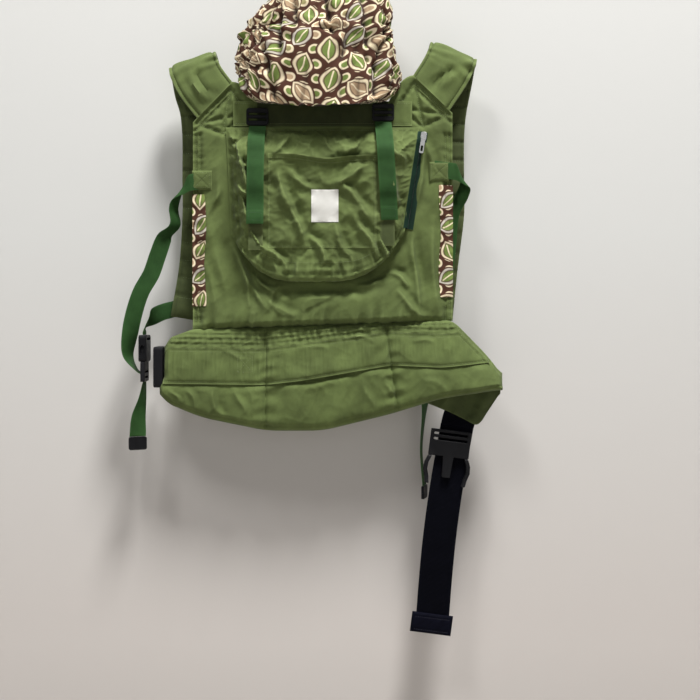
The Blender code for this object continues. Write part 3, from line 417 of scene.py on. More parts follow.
def canvas_look(name, colour, worn, fade_and_shade):
    """Washed cotton twill: a fine diagonal weave, cloudy fading, pale wear with a painted highlight on
    raised folds, and painted shade in the hollows."""
    look = Look(name, colour, 0.9, 0.06)
    cut, place, raised = look.cut(), look.place(), look.raised()
    yarn = look.wave(look.add("Mapping", {0: cut, 2: (0, 0, 0.9)}), 330.0, 1.2)
    slub = look.wave(cut, 240.0, 2.0, way="Y")
    cloud = look.noise(place, 26.0, 5.0, 0.6)
    speck = look.noise(place, 900.0)
    cloth_colour = look.mix(look.ramp(cloud, 0.35, 0.7), fade_and_shade, colour)
    # Wear and a painted highlight: the cloth turns paler on raised folds.
    cloth_colour = look.mix(look.ramp(raised, 0.515, 0.62), cloth_colour, worn)
    # Painted shade: the cloth turns darker in the hollows.
    cloth_colour = look.mix(look.ramp(raised, 0.49, 0.42), cloth_colour, fade_and_shade)
    look.give("Base Color", look.mix(0.16, cloth_colour, speck, "OVERLAY"))
    look.relief(look.math("ADD", look.math("ADD", yarn, slub), speck), 0.12, 0.0006)
    return look.material


canvas = canvas_look("olive_canvas", (0.104, 0.139, 0.041), (0.15, 0.192, 0.068), (0.068, 0.09, 0.026))
canvas_lining = canvas_look(
    "dark_canvas_lining", (0.062, 0.08, 0.026), (0.09, 0.112, 0.04), (0.04, 0.052, 0.017)
)


def sew(obj, carrier):
    """Fixes a piece to one body, or lets it bend between two."""
    if isinstance(carrier, str):
        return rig.ride(obj, carrier)
    first, second, start, end = carrier
    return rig.blend(obj, first, second, start=start, end=end)


def fit(piece, carrier, slot, *nodes):
    """Fixes a piece, and names its material slot and the CAD nodes that it stands for."""
    sew(piece, carrier)
    if nodes:
        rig.replaces(piece, *nodes)
    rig.slot(piece, slot)


def pouch_sides(z):
    share = (POUCH_TOP - z) / 175.0
    return -145.0 + 9.0 * share, 145.0 - 27.0 * share


def pouch_bottom(x):
    left, right = pouch_sides(-250.0)
    return -330.0 + 72.0 * np.abs(np.clip((2 * x - left - right) / (right - left), -1, 1)) ** 3.5


edges_x = [-ROOT_X, -NECK_X, NECK_X, ROOT_X]
body_xs = np.unique(np.concatenate((np.linspace(-HALF_BODY, HALF_BODY, 197), edges_x)))
bx, bs = plane(body_xs, steps((0, 0.3, 58), (0.3, 0.75, 56), (0.75, 1, 50)))
bz = body_top(bx) + (seam_z(bx) + 0.3 - body_top(bx)) * bs

# Under the pocket the cloth lies flat. Outside it the folds rise as far as the photograph shows them.
left_edge, right_edge = pouch_sides(bz)
beside = np.maximum(left_edge - bx, bx - right_edge)
below = pouch_bottom(bx) - bz
outside = np.where(bz > POUCH_TOP, (bz - POUCH_TOP) * 0.5, np.maximum(beside, below))
free = ease((outside - 3.0) / 16.0)
from_side, above_seam = HALF_BODY - np.abs(bx), (1 - bs) * BODY_HEIGHT
held = np.minimum(ease(from_side / 22.0), ease(bs / 0.06)) * ease((1 - bs) / 0.03)
rise = 0.9 * ripples(bx, bz, 3, 78.0, 50.0) + 0.6 * creases(bx, bz, 5, 66.0, 38.0)
rise = rise + 0.3 * creases(bx, bz, 6, 40.0, 15.0)
for soft_fold in (
    ((-136, -272), (-82, -380), 7, 7.5), ((-126, -296), (-104, -372), 5, 4.5),
    ((-104, -316), (-74, -352), 5, 5.0), ((-92, -352), (-40, -386), 6, 4.5),
    ((-60, -334), (-84, -374), 5, 4.0), ((-74, -364), (98, -350), 13, 4.5),
    ((40, -338), (96, -330), 6, 4.0), ((100, -316), (132, -338), 5, 5.0),
    ((108, -346), (154, -386), 6, 5.5), ((136, -256), (142, -378), 6, 6.5),
    ((166, -232), (170, -386), 7, 5.0), ((150, -118), (143, -222), 6, 4.5),
    ((138, -104), (176, -172), 6, 3.5), ((-172, -214), (-144, -386), 11, 4.0),
    ((-152, -130), (-160, -240), 9, 3.0), ((-150, -180), (-176, -250), 6, 2.6),
    ((-182, -300), (-150, -382), 8, 3.4), ((20, -345), (-30, -378), 5, 3.4),
    ((-118, -86), (-100, -98), 5, 2.0),
):
    rise = rise + fold(bx, bz, *soft_fold)
flare = 6.5 * ease((-312.0 - bz) / 24.0) * ease((150.0 - np.abs(bx)) / 40.0)
flare = flare + 8.0 * ease((-332.0 - bz + 0.05 * bx) / 52.0)
flare = flare * ease(above_seam / 9.0) * ease(from_side / 50.0)
near_seam = bell(above_seam, 22.0) * free * 1.4 * (ripples(bx, bz, 9, 88.0, 15.0, 10.0) + 0.4)
rise = flare + rise * free * held + near_seam

# Quilted corners under the shoulder straps: crossed stitch lines hold the canvas down to the padding.
quilt = []
for side in (-1, 1):
    corners = ((139, -38), (189, -88), (150, -104), (113, -74))
    a, b, c, d = [(side * x, z + SLOPE * side * x) for x, z in corners]
    quilt += [[a, b], [b, c], [c, d], [d, a], [a, c], [b, d]]
    quilt.append([(side * 134, -42 + SLOPE * side * 134), (side * 191, -98 + SLOPE * side * 191)])
    quilt.append([(side * 122, -60 + SLOPE * side * 122), (side * 112, -98.0)])
    quilt += [[(side * x, -112.0), (side * x, -392.0)] for x in (184.5, 190.5)]
sunk = np.zeros_like(bx)
for number, line in enumerate(quilt):
    sunk = np.maximum(sunk, sewn_line(bx, bz, line, 60 + number, 4.2, 0.5, 3.6, 9.0))
by = 1.2 - 1.2 * ease(from_side / 9.0) + sunk - rise
covered = (free < 0.02) & (bz < POUCH_TOP) & (bz > -312)
by = np.maximum(by, np.where(covered, 0.0, -17.0))
body_face = np.stack((bx, by, bz), -1)
body_rear = np.stack((bx, np.full_like(bx, 8.4), bz), -1)
body = sewn_shell("body_panel_canvas", body_face, body_rear, [canvas], 0.35)
fit(body, "carrier", "canvas", "body_panel", "body_padding")
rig.padded(body, 0.3)


def surface_of(points):
    """A reader of a front face: front(x, z) gives the Y of the cloth there, seen from the viewer."""
    tree = BVHTree.FromPolygons(points.reshape(-1, 3).tolist(), quads(*points.shape[:2])[1].tolist())

    def front(x, z, missing=0.0):
        hit = tree.ray_cast(Vector((x, -300.0, z)), Vector(TO_WALL))[0]
        return missing if hit is None else hit.y

    return front


def heights(front, x, z, missing):
    """The Y of the cloth under each point of a grid."""
    return np.array([[front(*spot, missing) for spot in zip(*row)] for row in zip(x, z)])


def spaced(line, step=3.0):
    """Points at even steps along a line through x, z points."""
    line = np.asarray(line, float)
    walked = walk(line)
    places = np.linspace(0, walked[-1], max(2, int(walked[-1] / step) + 1))
    return np.stack([np.interp(places, walked, column) for column in line.T], -1)


def laid(front, lines, missing=0.0, step=3.0):
    """Lines through x, z points, laid on the cloth."""
    return [[(x, front(x, z, missing), z) for x, z in spaced(line, step)] for line in lines]


def thread_look(name, colour):
    """Spun polyester thread: a twisted ply with a little sheen."""
    look = Look(name, colour, 0.55, 0.2)
    twist = look.wave(look.place(), 900.0, 1.0, way="DIAGONAL")
    look.give("Base Color", look.mix(twist, [c * 0.75 for c in colour], [c * 1.2 for c in colour]))
    look.relief(twist, 0.3, 0.0003)
    return look.material


green_thread = thread_look("olive_thread", (0.14, 0.178, 0.066))


def stitch_rows(name, lines, look, carrier, pitch=3.4, length=2.5, radius=0.42, normals=None):
    """Rows of lockstitch. Each line is a row of points that already lie on the cloth, which faces the
    viewer unless the line has a normal of its own."""
    verts, faces = [], []
    for line, normal in zip(lines, normals or [TO_VIEWER] * len(lines)):
        points = np.asarray(line, float)
        walked = walk(points)
        count = max(1, int(walked[-1] / pitch))
        for number in range(count):
            spots = (number + 0.5) * walked[-1] / count + np.array((-0.5, 0.5)) * length
            first, last = np.stack([np.interp(spots, walked, column) for column in points.T], -1)
            along = unit(last - first)
            side = unit(np.cross(along, np.asarray(normal, float)))
            out = np.cross(side, along)
            centre = (first + last) / 2 + out * radius * 0.5
            base = len(verts)
            verts += [first - out * 0.2, centre + side * radius, centre + out * radius]
            verts += [centre - side * radius, centre - out * radius, last - out * 0.2]
            for a, b in ((1, 2), (2, 3), (3, 4), (4, 1)):
                faces += [(base, base + b, base + a), (base + 5, base + a, base + b)]
    obj = new_object(name, verts, faces)
    obj.data.materials.append(look)
    sew(obj, carrier)


body_front = surface_of(body_face)
stitch_rows("body_stitching", laid(body_front, quilt), green_thread, "carrier")

# Printed lining: a light cotton sewn behind the padding, which wraps forward over the lower half of
# both side edges as a narrow strip. The print is a plain half-drop of leaves and dots on brown.


def leaf_print(name, wide, tall):
    """Brown cotton with cream-edged green leaves, turned a little from cell to cell, and dots between."""
    look = Look(name, (0.3, 0.22, 0.13), 0.86, 0.1)
    brown, cream, pale = (0.055, 0.019, 0.009), (0.66, 0.56, 0.38), (0.47, 0.43, 0.36)
    # hollow is the colour of the painted shade in the cloth's hollows.
    leaf_green, tan, hollow = (0.135, 0.185, 0.042), (0.36, 0.25, 0.15), (0.02, 0.01, 0.006)
    leaf_half_width, leaf_half_length, dot_radius, soft = 0.0112, 0.0168, 0.0064, 0.07
    cut, math_of, mix, ramp = look.cut(), look.math, look.mix, look.ramp
    wander = look.noise(cut, 30.0, 1.0, out=1)
    shifted = look.add("VectorMath", {0: wander, 1: (0.5, 0.5, 0.5)}, operation="SUBTRACT")
    scaled = look.add("VectorMath", {0: shifted, 3: 0.009}, operation="SCALE")
    drawn = look.add("VectorMath", {0: cut, 1: scaled}, operation="ADD")
    parts = look.add("SeparateXYZ", {0: drawn}).node.outputs

    def in_cell(place, size):
        """The number of a cell, and the place in it in metres from its middle."""
        number = math_of("FLOOR", place)
        middle = math_of("SUBTRACT", math_of("SUBTRACT", place, number), 0.5)
        return number, math_of("MULTIPLY", middle, size)

    def cells(width, height, shift):
        """The place in each cell of a half-drop repeat, and the cell's own chance number."""
        across = math_of("ADD", math_of("DIVIDE", parts[0], width), shift)
        column, x = in_cell(across, width)
        drop = math_of("MULTIPLY", math_of("FLOORED_MODULO", column, 2.0), 0.5)
        down = math_of("ADD", math_of("ADD", math_of("DIVIDE", parts[1], height), drop), shift)
        row, y = in_cell(down, height)
        number = look.add("CombineXYZ", {0: column, 1: row, 2: shift})
        return x, y, look.add("TexWhiteNoise", {0: number}, noise_dimensions="3D")

    def inked(paint, shape, size, colour):
        return mix(ramp(shape, size + soft, size - soft), paint, colour)

    x, y, chance = cells(wide, tall, 0.0)
    turn = math_of("MULTIPLY", math_of("SUBTRACT", chance, 0.5), 2.4)
    cos, sin = math_of("COSINE", turn), math_of("SINE", turn)
    u = math_of("SUBTRACT", math_of("MULTIPLY", x, cos), math_of("MULTIPLY", y, sin))
    v = math_of("ADD", math_of("MULTIPLY", x, sin), math_of("MULTIPLY", y, cos))
    width = math_of("ABSOLUTE", math_of("DIVIDE", u, leaf_half_width))
    length = math_of("ABSOLUTE", math_of("DIVIDE", v, leaf_half_length))
    leaf = math_of("ADD", width, math_of("POWER", length, 2.0))
    dx, dy, pick = cells(wide / 2, tall / 2, 0.5)
    away = math_of("ADD", math_of("MULTIPLY", dx, dx), math_of("MULTIPLY", dy, dy))
    dot = math_of("DIVIDE", math_of("SQRT", away), dot_radius)
    paint = inked(brown, dot, 1, cream)
    paint = inked(paint, dot, 0.6, mix(ramp(pick, 0.45, 0.55), tan, leaf_green))
    paint = mix(ramp(leaf, 1.26, 1.18), paint, brown)
    paint = inked(paint, leaf, 1, mix(ramp(chance, 0.7, 0.72), cream, pale))
    paint = inked(paint, leaf, 0.7, brown)
    paint = inked(paint, leaf, 0.58, mix(ramp(chance, 0.3, 0.32), tan, leaf_green))
    vein = ramp(math_of("ABSOLUTE", u), 0.0011, 0.0006)
    paint = mix(math_of("MULTIPLY", ramp(leaf, 0.5, 0.45), vein), paint, cream)
    paint = mix(0.14, paint, look.noise(look.place(), 700.0), "OVERLAY")
    # Painted shade: the print darkens in the cloth's hollows.
    look.give("Base Color", mix(ramp(look.raised(), 0.485, 0.42), paint, hollow))
    look.relief(look.plain_weave(cut, 300.0, 1.0), 0.12, 0.0005)
    return look.material


printed = leaf_print("leaf_print_cotton", 0.031, 0.038)
lx, ls = plane(body_xs[::2], np.linspace(0, 1, 56))
lz = body_top(lx) + (seam_z(lx) + 0.3 - body_top(lx)) * ls
inner = np.minimum(ease((HALF_BODY - np.abs(lx)) / 30.0), ease((1 - ls) / 0.1) * ease(ls / 0.1))
slack = 0.5 * ripples(lx, lz, 21, 20.0, 60.0) * inner
lining_front = np.stack((lx, np.full_like(lx, 8.7), lz), -1)
lining_back = np.stack((lx, 10.1 + np.clip(slack, -0.6, 1.0), lz), -1)
lining = sewn_shell("body_lining_print", lining_front, lining_back, [printed], 0.2)
fit(lining, "carrier", "print_cloth", "body_lining")
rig.sheet(lining, flat=(0.39, 0.372), held="stretched", rests_on=["body_padding"], area=0.128)

for side, sign in (("left", -1), ("right", 1)):
    top = -194.0 + SLOPE * sign * HALF_BODY
    ts, tv = plane(np.linspace(0, 1, 9), np.linspace(0, 1, 60))
    tz = top - 168.0 * tv
    wide = 20.0 + 1.6 * np.sin(tv * 9.0 + sign)
    tx = sign * (HALF_BODY + 0.6 - wide * (1 - ts))
    bulge = 1.6 + 1.5 * np.sin(np.pi * ts) + 0.35 * ripples(tx * 0.3, tz, 31 + sign, 0.0, 24.0)
    body_y = heights(body_front, np.clip(tx, -194, 194), tz, 1.0)
    face = np.stack((tx, body_y - bulge, tz), -1)
    rear = np.stack((tx, body_y - 0.25, tz), -1)
    print_at = np.stack((tx + 12.0, tz), -1)
    strip = sewn_shell(f"side_strip_{side}", face, rear, [printed], 0.5, print_at)
    fit(strip, "carrier", "print_cloth", f"side_trim_{side}")

# Neck band: a doubled canvas strip along the neckline, below the hood's seam, which carries the hood's
# two buckles. Between them it is near-black, a painted shadow of the hood. It is stitched down along both edges.
NECK_BAND_TOP, NECK_BAND_BOTTOM = -61.8, -98.7
nx, nv = plane(np.linspace(-134, 134, 120), np.linspace(0, 1, 16))
nz = NECK_BAND_TOP + (NECK_BAND_BOTTOM - NECK_BAND_TOP) * nv
from_edge = np.minimum(nv, 1 - nv)
pull = 0.35 * ripples(nx, nz, 41, 90.0, 14.0, 12.0) + 0.3 * creases(nx, nz, 42, 80.0, 22.0)
ny = -1.9 - pull * ease(from_edge / 0.2) + 0.5 * bell(from_edge - 0.09, 0.05)
band_face = np.stack((nx, np.clip(ny, -3.0, -1.2), nz), -1)
band_rear = np.stack((nx, np.full_like(nx, -0.3), nz), -1)
# Canvas darkened to near-black, a painted shadow of the hood.
neck_shadow_canvas = canvas_look(
    "neck_band_painted_shadow", (0.034, 0.043, 0.014), (0.05, 0.062, 0.022), (0.022, 0.028, 0.009)
)
neck_band = sewn_shell("neck_band", band_face, band_rear, [neck_shadow_canvas], 0.4)
neck_band.data.materials.append(canvas)
# Painted shadow between the buckles; the ends beyond them take the plain canvas.
for face in neck_band.data.polygons:
    face.material_index = int(abs(face.center.x) > NECK_X * MM)
fit(neck_band, "carrier", "dark_canvas", "head_band")
rows = laid(surface_of(band_face), [[(-131, z), (131, z)] for z in (-65.2, -95.4)])
stitch_rows("neck_band_stitching", rows, green_thread, "carrier")

# Hood: a printed cotton sheet sewn to the neck band. Elastic in both side hems draws it up into a
# puffed bundle that stands above the panel, with gathers fanning out from each elastic.
HOOD_BASE, HOOD_HEIGHT, HOOD_ROUND = -61.0, 190.0, 560.0
SQUARENESS = 2.4
CROWN_RING = 62


def pleats(run, beat, sway, long_beat):
    """Small pleats along a drawn-up edge, at an uneven beat."""
    return np.cos(run / beat + sway * np.sin(run / long_beat))


turns = np.linspace(0.5 * np.pi, 2.5 * np.pi, 181)
hs, ht = plane(steps((0, 0.12, 9), (0.12, 1, 66)), turns)
height = HOOD_HEIGHT * hs
hood_left = np.interp(
    height,
    (0, 12, 30, 62, 95, 118, 140, 165, 182, 190),
    (-103, -114, -121, -124, -120, -103, -84, -62, -34, -12),
)
hood_right = np.interp(
    height, (0, 12, 30, 70, 110, 140, 165, 182, 190), (95, 104, 110, 108, 104, 98, 84, 58, 30)
)
depth = np.interp(
    height,
    (0, 4, 10, 16, 24, 45, 80, 110, 140, 165, 182, 190),
    (1.0, 10, 26, 36, 42, 45, 43, 39, 33, 24, 13, 3),
)
cos, sin = np.cos(ht), np.sin(ht)
to_front = np.clip(-sin, 0, 1)
depth += 10.0 * bell(height - 13.0, 7.0) * to_front
box = (np.abs(cos) ** SQUARENESS + np.abs(sin) ** SQUARENESS) ** (-1 / SQUARENESS)
hx = (hood_left + hood_right) / 2 + (hood_right - hood_left) / 2 * cos * box
hy = -1.3 + depth * sin * box
hz = HOOD_BASE + height
arc = (ht - 0.5 * np.pi) / (2 * np.pi) * HOOD_ROUND
billow = 4.0 * ripples(arc, hz, 71, 70.0, 74.0, 40.0) + 3.2 * creases(arc, hz, 72, 68.0, 40.0, 40.0)
billow += 1.2 * creases(arc, hz, 73, 80.0, 18.0, 40.0)
gather = np.zeros_like(hx)
for ex, ez, count, seed in (
    (-126.0, -14.0, 15, 81), (112.0, -28.0, 13, 82), (-104.0, 46.0, 11, 83), (104.0, 44.0, 10, 84),
):
    along = np.hypot((hx - ex) * 0.8, hz - ez)
    turn = np.arctan2(hz - ez, (hx - ex) + 1e-6)
    chance = np.random.default_rng(seed)
    fan = np.cos(count * turn + chance.uniform(0, 6))
    fan = fan + 0.6 * np.cos(count * 1.7 * turn + along / 14.0 + chance.uniform(0, 6))
    gather += 5.6 * fan * (1 - np.exp(-along / 9.0)) * np.exp(-along / 34.0)
seam_gather = 2.6 * pleats(arc, 2.6, 1.6, 17.0) * bell(height - 9.0, 13.0)
seam_gather += 2.2 * pleats(arc, 5.2, 2.0, 31.0) * bell(height - 22.0, 24.0)
valleys = np.zeros_like(hx)
for valley in (
    ((-61, 72), (-60, -6), 6, 9.0), ((4, 128), (14, 2), 6, 10.0), ((66, 122), (70, -8), 7, 11.0),
    ((-34, 110), (-44, 20), 6, 7.0), ((38, 60), (30, -40), 6, 7.0), ((-96, 34), (-70, -44), 6, 8.0),
    ((-24, -10), (-34, -58), 6, 7.0), ((90, 50), (84, -50), 6, 8.0), ((52, -20), (60, -62), 5, 6.0),
    ((-90, -30), (-40, -16), 6, 5.0), ((-8, 40), (26, 30), 6, 5.0),
):
    valleys += fold(hx, hz, *valley)
fade = ease(height / 16.0) * ease((HOOD_HEIGHT - height) / 20.0)
out = (billow * ease(height / 40.0) + gather) * fade + seam_gather * ease(height / 5.0)
out = out - valleys * (sin < 0) * fade
out_x, out_y = cos * 0.8, sin
norm = np.hypot(out_x, out_y)
hx = hx + out_x / norm * np.clip(out, -13, 9)
hy = np.clip(hy + out_y / norm * np.clip(out, -13, 9), -49.0, 40.0)
hz = hz - 38.0 * bell(height - 24.0, 18.0) * to_front + 0.5 * out * fade * 0.4
hood_grid = np.stack((hx, hy, hz), -1)


def closed_bag(name, grid, uv, look, crown):
    """A bag whose columns run all the way round, with its first and last ring closed by fans. Its crown,
    from that ring up, is cut as a piece of its own, so the print lies level across it."""
    rows, columns = grid.shape[:2]
    at = np.arange(rows * columns).reshape(rows, columns)
    at_crown = at + rows * columns
    faces = []
    for ring in range(rows - 1):
        low, high = (at_crown if ring >= crown else at)[ring : ring + 2]
        faces += np.stack((low[:-1], low[1:], high[1:], high[:-1]), -1).tolist()
    verts = grid.reshape(-1, 3).tolist() * 2
    uvs = uv.reshape(-1, 2).tolist() + grid[..., :2].reshape(-1, 2).tolist()
    for ring, here in ((0, at[0]), (rows - 1, at_crown[-1])):
        verts.append(grid[ring, :-1].mean(0).tolist())
        uvs.append(np.mean([uvs[spot] for spot in here[:-1]], axis=0).tolist())
        faces += [(here[k], here[k + 1], len(verts) - 1) for k in range(columns - 1)]
    obj = new_object(name, verts, faces, uvs)
    face_outward(obj.data, weld=True)
    obj.data.shade_smooth()
    obj.data.materials.append(look)
    return obj


climb = np.cumsum(np.linalg.norm(np.diff(hood_grid, axis=0), axis=2), axis=0)
climb = np.vstack((np.zeros(len(turns)), climb))
for _ in range(12):
    climb = (np.roll(climb, 2, axis=1) + climb + np.roll(climb, -2, axis=1)) / 3
hood = closed_bag("hood_print", hood_grid, np.stack((arc, 0.9 * climb), -1), printed, CROWN_RING)
fit(hood, ("carrier", "hood", (0, 0, -0.084), (0, 0, -0.02)), "print_cloth", "hood")
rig.padded(hood, 0.35)

# Pocket: a canvas pouch sewn to the panel round its top, left side and curved bottom, with a zip along
# its right side. It is cut fuller than its outline, so it stands off the panel, sags over its bottom
# seam and crumples along the sewn edges.
POUCH_CLOTH = 1.3
pu, pv = plane(
    steps((-1, -0.84, 17), (-0.84, 0.84, 125), (0.84, 1, 17)),
    steps((0, 0.15, 17), (0.15, 0.84, 62), (0.84, 1, 21)),
)
bottom = POUCH_TOP - 226.0 + 70.0 * np.abs(pu) ** 3.5
pz = POUCH_TOP + (bottom - POUCH_TOP) * pv
pouch_l, pouch_r = pouch_sides(pz)
px = pouch_l + (pouch_r - pouch_l) * (pu + 1) / 2
from_top, from_bottom = POUCH_TOP - pz, pz - bottom
from_left, from_right = px - pouch_l, pouch_r - px
round_bottom = np.sqrt(np.clip(1 - (1 - np.clip(from_bottom / 24.0, 0, 1)) ** 2.2, 0, 1))
mouth = 0.33 + 0.67 * ease(from_right / 30.0)
swell = np.minimum.reduce((ease(from_top / 46.0), round_bottom, ease(from_left / 26.0), mouth))
lip = 0.35 + 0.65 * ease(from_right / 24.0)
inner = np.minimum.reduce((ease(from_top / 24.0), ease(from_bottom / 16.0), ease(from_left / 12.0), lip))
rumple = 1.6 * ripples(px, pz, 101, 55.0, 46.0, 40.0) + 1.7 * creases(px, pz, 102, 48.0, 36.0, 45.0)
rumple += 0.9 * creases(px, pz, 103, 120.0, 17.0, 50.0)
for soft_fold in (
    ((-122, -120), (-112, -200), 4.0, 8.7), ((-128, -150), (-98, -172), 4.0, 6.5),
    ((-130, -186), (-100, -205), 4.0, 6.5), ((-124, -205), (-92, -262), 5.6, 8.7),
    ((-118, -240), (-78, -288), 4.8, 7.2), ((-66, -168), (-40, -238), 6.4, 6.5),
    ((-48, -170), (-10, -200), 5.6, 5.8), ((-58, -200), (-20, -290), 6.4, 7.2),
    ((-20, -260), (6, -300), 5.6, 6.5), ((24, -180), (70, -240), 7.2, 7.2),
    ((62, -160), (22, -190), 5.6, 5.8), ((48, -232), (78, -290), 6.4, 6.5),
    ((14, -245), (40, -292), 5.6, 5.1), ((86, -262), (100, -300), 4.8, 7.2),
    ((104, -150), (112, -240), 5.6, 6.5), ((-40, -112), (-74, -142), 6.4, 5.8),
    ((62, -118), (28, -148), 7.2, 6.5), ((80, -120), (112, -150), 5.6, 5.1),
    ((-84, -272), (-50, -312), 4.8, 5.8),
):
    rumple = rumple + fold(px, pz, *soft_fold)
gathers = 3.0 * pleats(pz, 3.1, 2.0, 19.0) * bell(from_left - 9.0, 9.0) * ease(from_top / 20.0)
low_edge = bell(from_bottom - 12.0, 10.0) * ease(np.abs(px) / 60.0 + 0.25)
gathers += 2.6 * pleats(px, 3.6, 2.2, 23.0) * low_edge
gathers += 1.8 * pleats(pz, 3.4, 2.0, 17.0) * bell(from_right - 12.0, 10.0) * ease((-180.0 - pz) / 30.0)
hem_x = np.linspace(-96, 104, 40)
hem = np.stack((hem_x, pouch_bottom(hem_x) + 25.0), -1)
sink = sewn_line(px, pz, hem, 120, 1.1, 0.8, 2.4, 10.0)
welt = np.minimum.reduce((from_left, from_bottom, from_right + 60.0 * (pz > -250.0)))
sink = sink + 1.6 * bell(welt - 14.5, 2.0) - 1.8 * bell(welt - 10.0, 2.4)
py = -2.3 - 23.0 * swell - inner * (rumple + gathers) + inner * sink
py = np.clip(py, -37.0, np.where(swell > 0.25, -7.0 * np.minimum(1, swell * 2), -1.6))
py = np.minimum(py, -1.7)
sag = 11.0 * from_bottom / 9.0 * np.exp(1 - from_bottom / 9.0) * (1 - ease(from_bottom / 45.0))
pz = pz - sag
pouch_grid = np.stack((px, py, pz), -1)


def settled(grid, pinned, pressure, slack, frames, cap):
    """The grid after its cloth has found its own folds in Blender's cloth solver. slack is how much
    longer the cloth is cut than its shape, and no point moves further than cap."""
    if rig.quick():
        return grid
    trial = new_object("settling_cloth", grid.reshape(-1, 3), quads(*grid.shape[:2])[1])
    mesh, scene = trial.data, bpy.context.scene
    start = np.empty(len(mesh.vertices) * 3, np.float32)
    mesh.vertices.foreach_get("co", start)
    sewn = trial.vertex_groups.new(name="sewn")
    sewn.add([int(i) for i in np.flatnonzero(pinned.ravel())], 1.0, "REPLACE")
    cloth = trial.modifiers.new("settle", "CLOTH")
    for key, value in (
        ("quality", 6), ("mass", 0.2), ("tension_stiffness", 25), ("compression_stiffness", 25),
        ("bending_stiffness", 0.15), ("vertex_group_mass", "sewn"), ("use_pressure", True),
        ("uniform_pressure_force", pressure), ("shrink_min", -slack),
    ):
        setattr(cloth.settings, key, value)
    cloth.settings.effector_weights.gravity = 0.0
    cloth.point_cache.frame_start = 1
    cloth.point_cache.frame_end = frames
    for number in range(1, frames + 1):
        scene.frame_set(number)
    worn = trial.evaluated_get(bpy.context.evaluated_depsgraph_get())
    end = np.empty_like(start)
    worn.to_mesh().vertices.foreach_get("co", end)
    worn.to_mesh_clear()
    moved = (end - start).reshape(-1, 3)
    length = np.linalg.norm(moved, axis=1, keepdims=True)
    moved *= cap * MM * np.tanh(length / (cap * MM)) / np.maximum(length, 1e-9)
    bpy.data.objects.remove(trial)
    bpy.data.meshes.remove(mesh)
    scene.frame_set(1)
    return (start + moved.ravel()).reshape(grid.shape).astype(float) / MM


pinned = (from_top < 4) | (from_bottom < 3) | (from_left < 3) | (from_right < 3)
loose_grid = settled(pouch_grid, pinned, pressure=0.3, slack=0.05, frames=16, cap=5.0)
# Behind the slip pocket two layers stiffen each other, so less of the crumpling stays there.
calm = 0.74 * ease((88 - np.abs(px)) / 24.0) * ease((-128 - pz) / 22.0) * ease((pz + 300) / 30.0)
pouch_grid = loose_grid + (pouch_grid - loose_grid) * calm[..., None]
pouch_grid[..., 1] = np.clip(pouch_grid[..., 1], -38.0, -1.6)
pouch_cut = np.stack((px, pz), -1)
pouch = sewn_shell("pocket_pouch_canvas", pouch_grid, POUCH_CLOTH, [canvas], 0.3, pouch_cut)
fit(pouch, "carrier", "canvas", "pocket_pouch")
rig.sheet(pouch, flat=(0.31, 0.27), held="gathered", rests_on=["body_panel_canvas"], area=0.079)
pouch_front = surface_of(pouch_grid)
rows = laid(pouch_front, (hem, [(-141, -105.5), (141, -105.5)]))
stitch_rows("pocket_hem_stitching", rows, green_thread, "carrier")

# Slip pocket: a flat patch of the same canvas sewn on the pouch's front on three sides. Its top hem is
# turned twice, dips a little in the middle and stands off the pouch. The bare woven label is on it.
SLIP_HALF, SLIP_TOP, SLIP_BOTTOM = 80, -144.5, -283.0
SLIP_CLOTH = 0.8


def slip_line(x, top):
    """A line along the top hem, which dips in the middle."""
    return top - 6.5 * bell(x - 6, 34.0) - 0.02 * x


sx, sv = plane(np.linspace(-SLIP_HALF, SLIP_HALF, 81), steps((0, 0.1, 14), (0.1, 1, 62)))
sz = slip_line(sx, SLIP_TOP) + (SLIP_BOTTOM - slip_line(sx, SLIP_TOP)) * sv
drop, from_seam = slip_line(sx, SLIP_TOP) - sz, SLIP_HALF - np.abs(sx)
sy = heights(pouch_front, sx, sz, -25.0) - 0.9 - ease((9.0 - drop) / 1.6)
sy = sy - 7.5 * bell(drop, 6.0) * ease(from_seam / 24.0)
sy = sy - 0.3 * creases(sx, sz, 131, 50.0, 22.0, 50.0) * ease(from_seam / 10.0)
slip_grid = np.stack((sx, sy, sz), -1)
slip = sewn_shell("slip_pocket_patch", slip_grid, SLIP_CLOTH, [canvas], 0.2)
fit(slip, "carrier", "canvas", "slip_pocket")
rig.sheet(slip, flat=(0.168, 0.151), held="stretched", rests_on=["pocket_pouch_canvas"])
slip_front = surface_of(slip_grid)
sides = [(-77.5, -148), (-77.5, -280.5), (77.5, -280.5), (77.5, -148)]
top_hem = [(x, slip_line(x, SLIP_TOP - 7.0)) for x in np.linspace(-77, 77, 40)]
rows = laid(slip_front, (sides, top_hem), -26)
stitch_rows("slip_pocket_stitching", rows, green_thread, "carrier")

# Label: a small bare woven patch, folded under at its edges and stitched down all round. It lies on the
# slip pocket and bridges the finer creases under it.
LABEL_CLOTH = 0.7
label_look = Look("bare_label_weave", (0.8, 0.79, 0.75), 0.7, 0.15)
cut = label_look.cut()
tone = label_look.mix(label_look.noise(cut, 120.0, 3.0), (0.5, 0.49, 0.45), (0.62, 0.61, 0.57))
label_look.give("Base Color", tone)
label_look.relief(label_look.plain_weave(cut, 420.0, 0.6), 0.25, 0.0004)
qx, qz = plane(np.linspace(-16, 24, 30), np.linspace(-197, -245, 36))
under = heights(slip_front, qx, qz, -27.0)
eased = under.copy()
for _ in range(60):
    beside = eased[:-2, 1:-1] + eased[2:, 1:-1] + eased[1:-1, :-2] + eased[1:-1, 2:]
    eased[1:-1, 1:-1] = beside / 4
label_grid = np.stack((qx, np.minimum(eased - 1.0, 0.5 * (eased + under) - 0.8), qz), -1)
label = sewn_shell("bare_label", label_grid, LABEL_CLOTH, [label_look.material], 0.5)
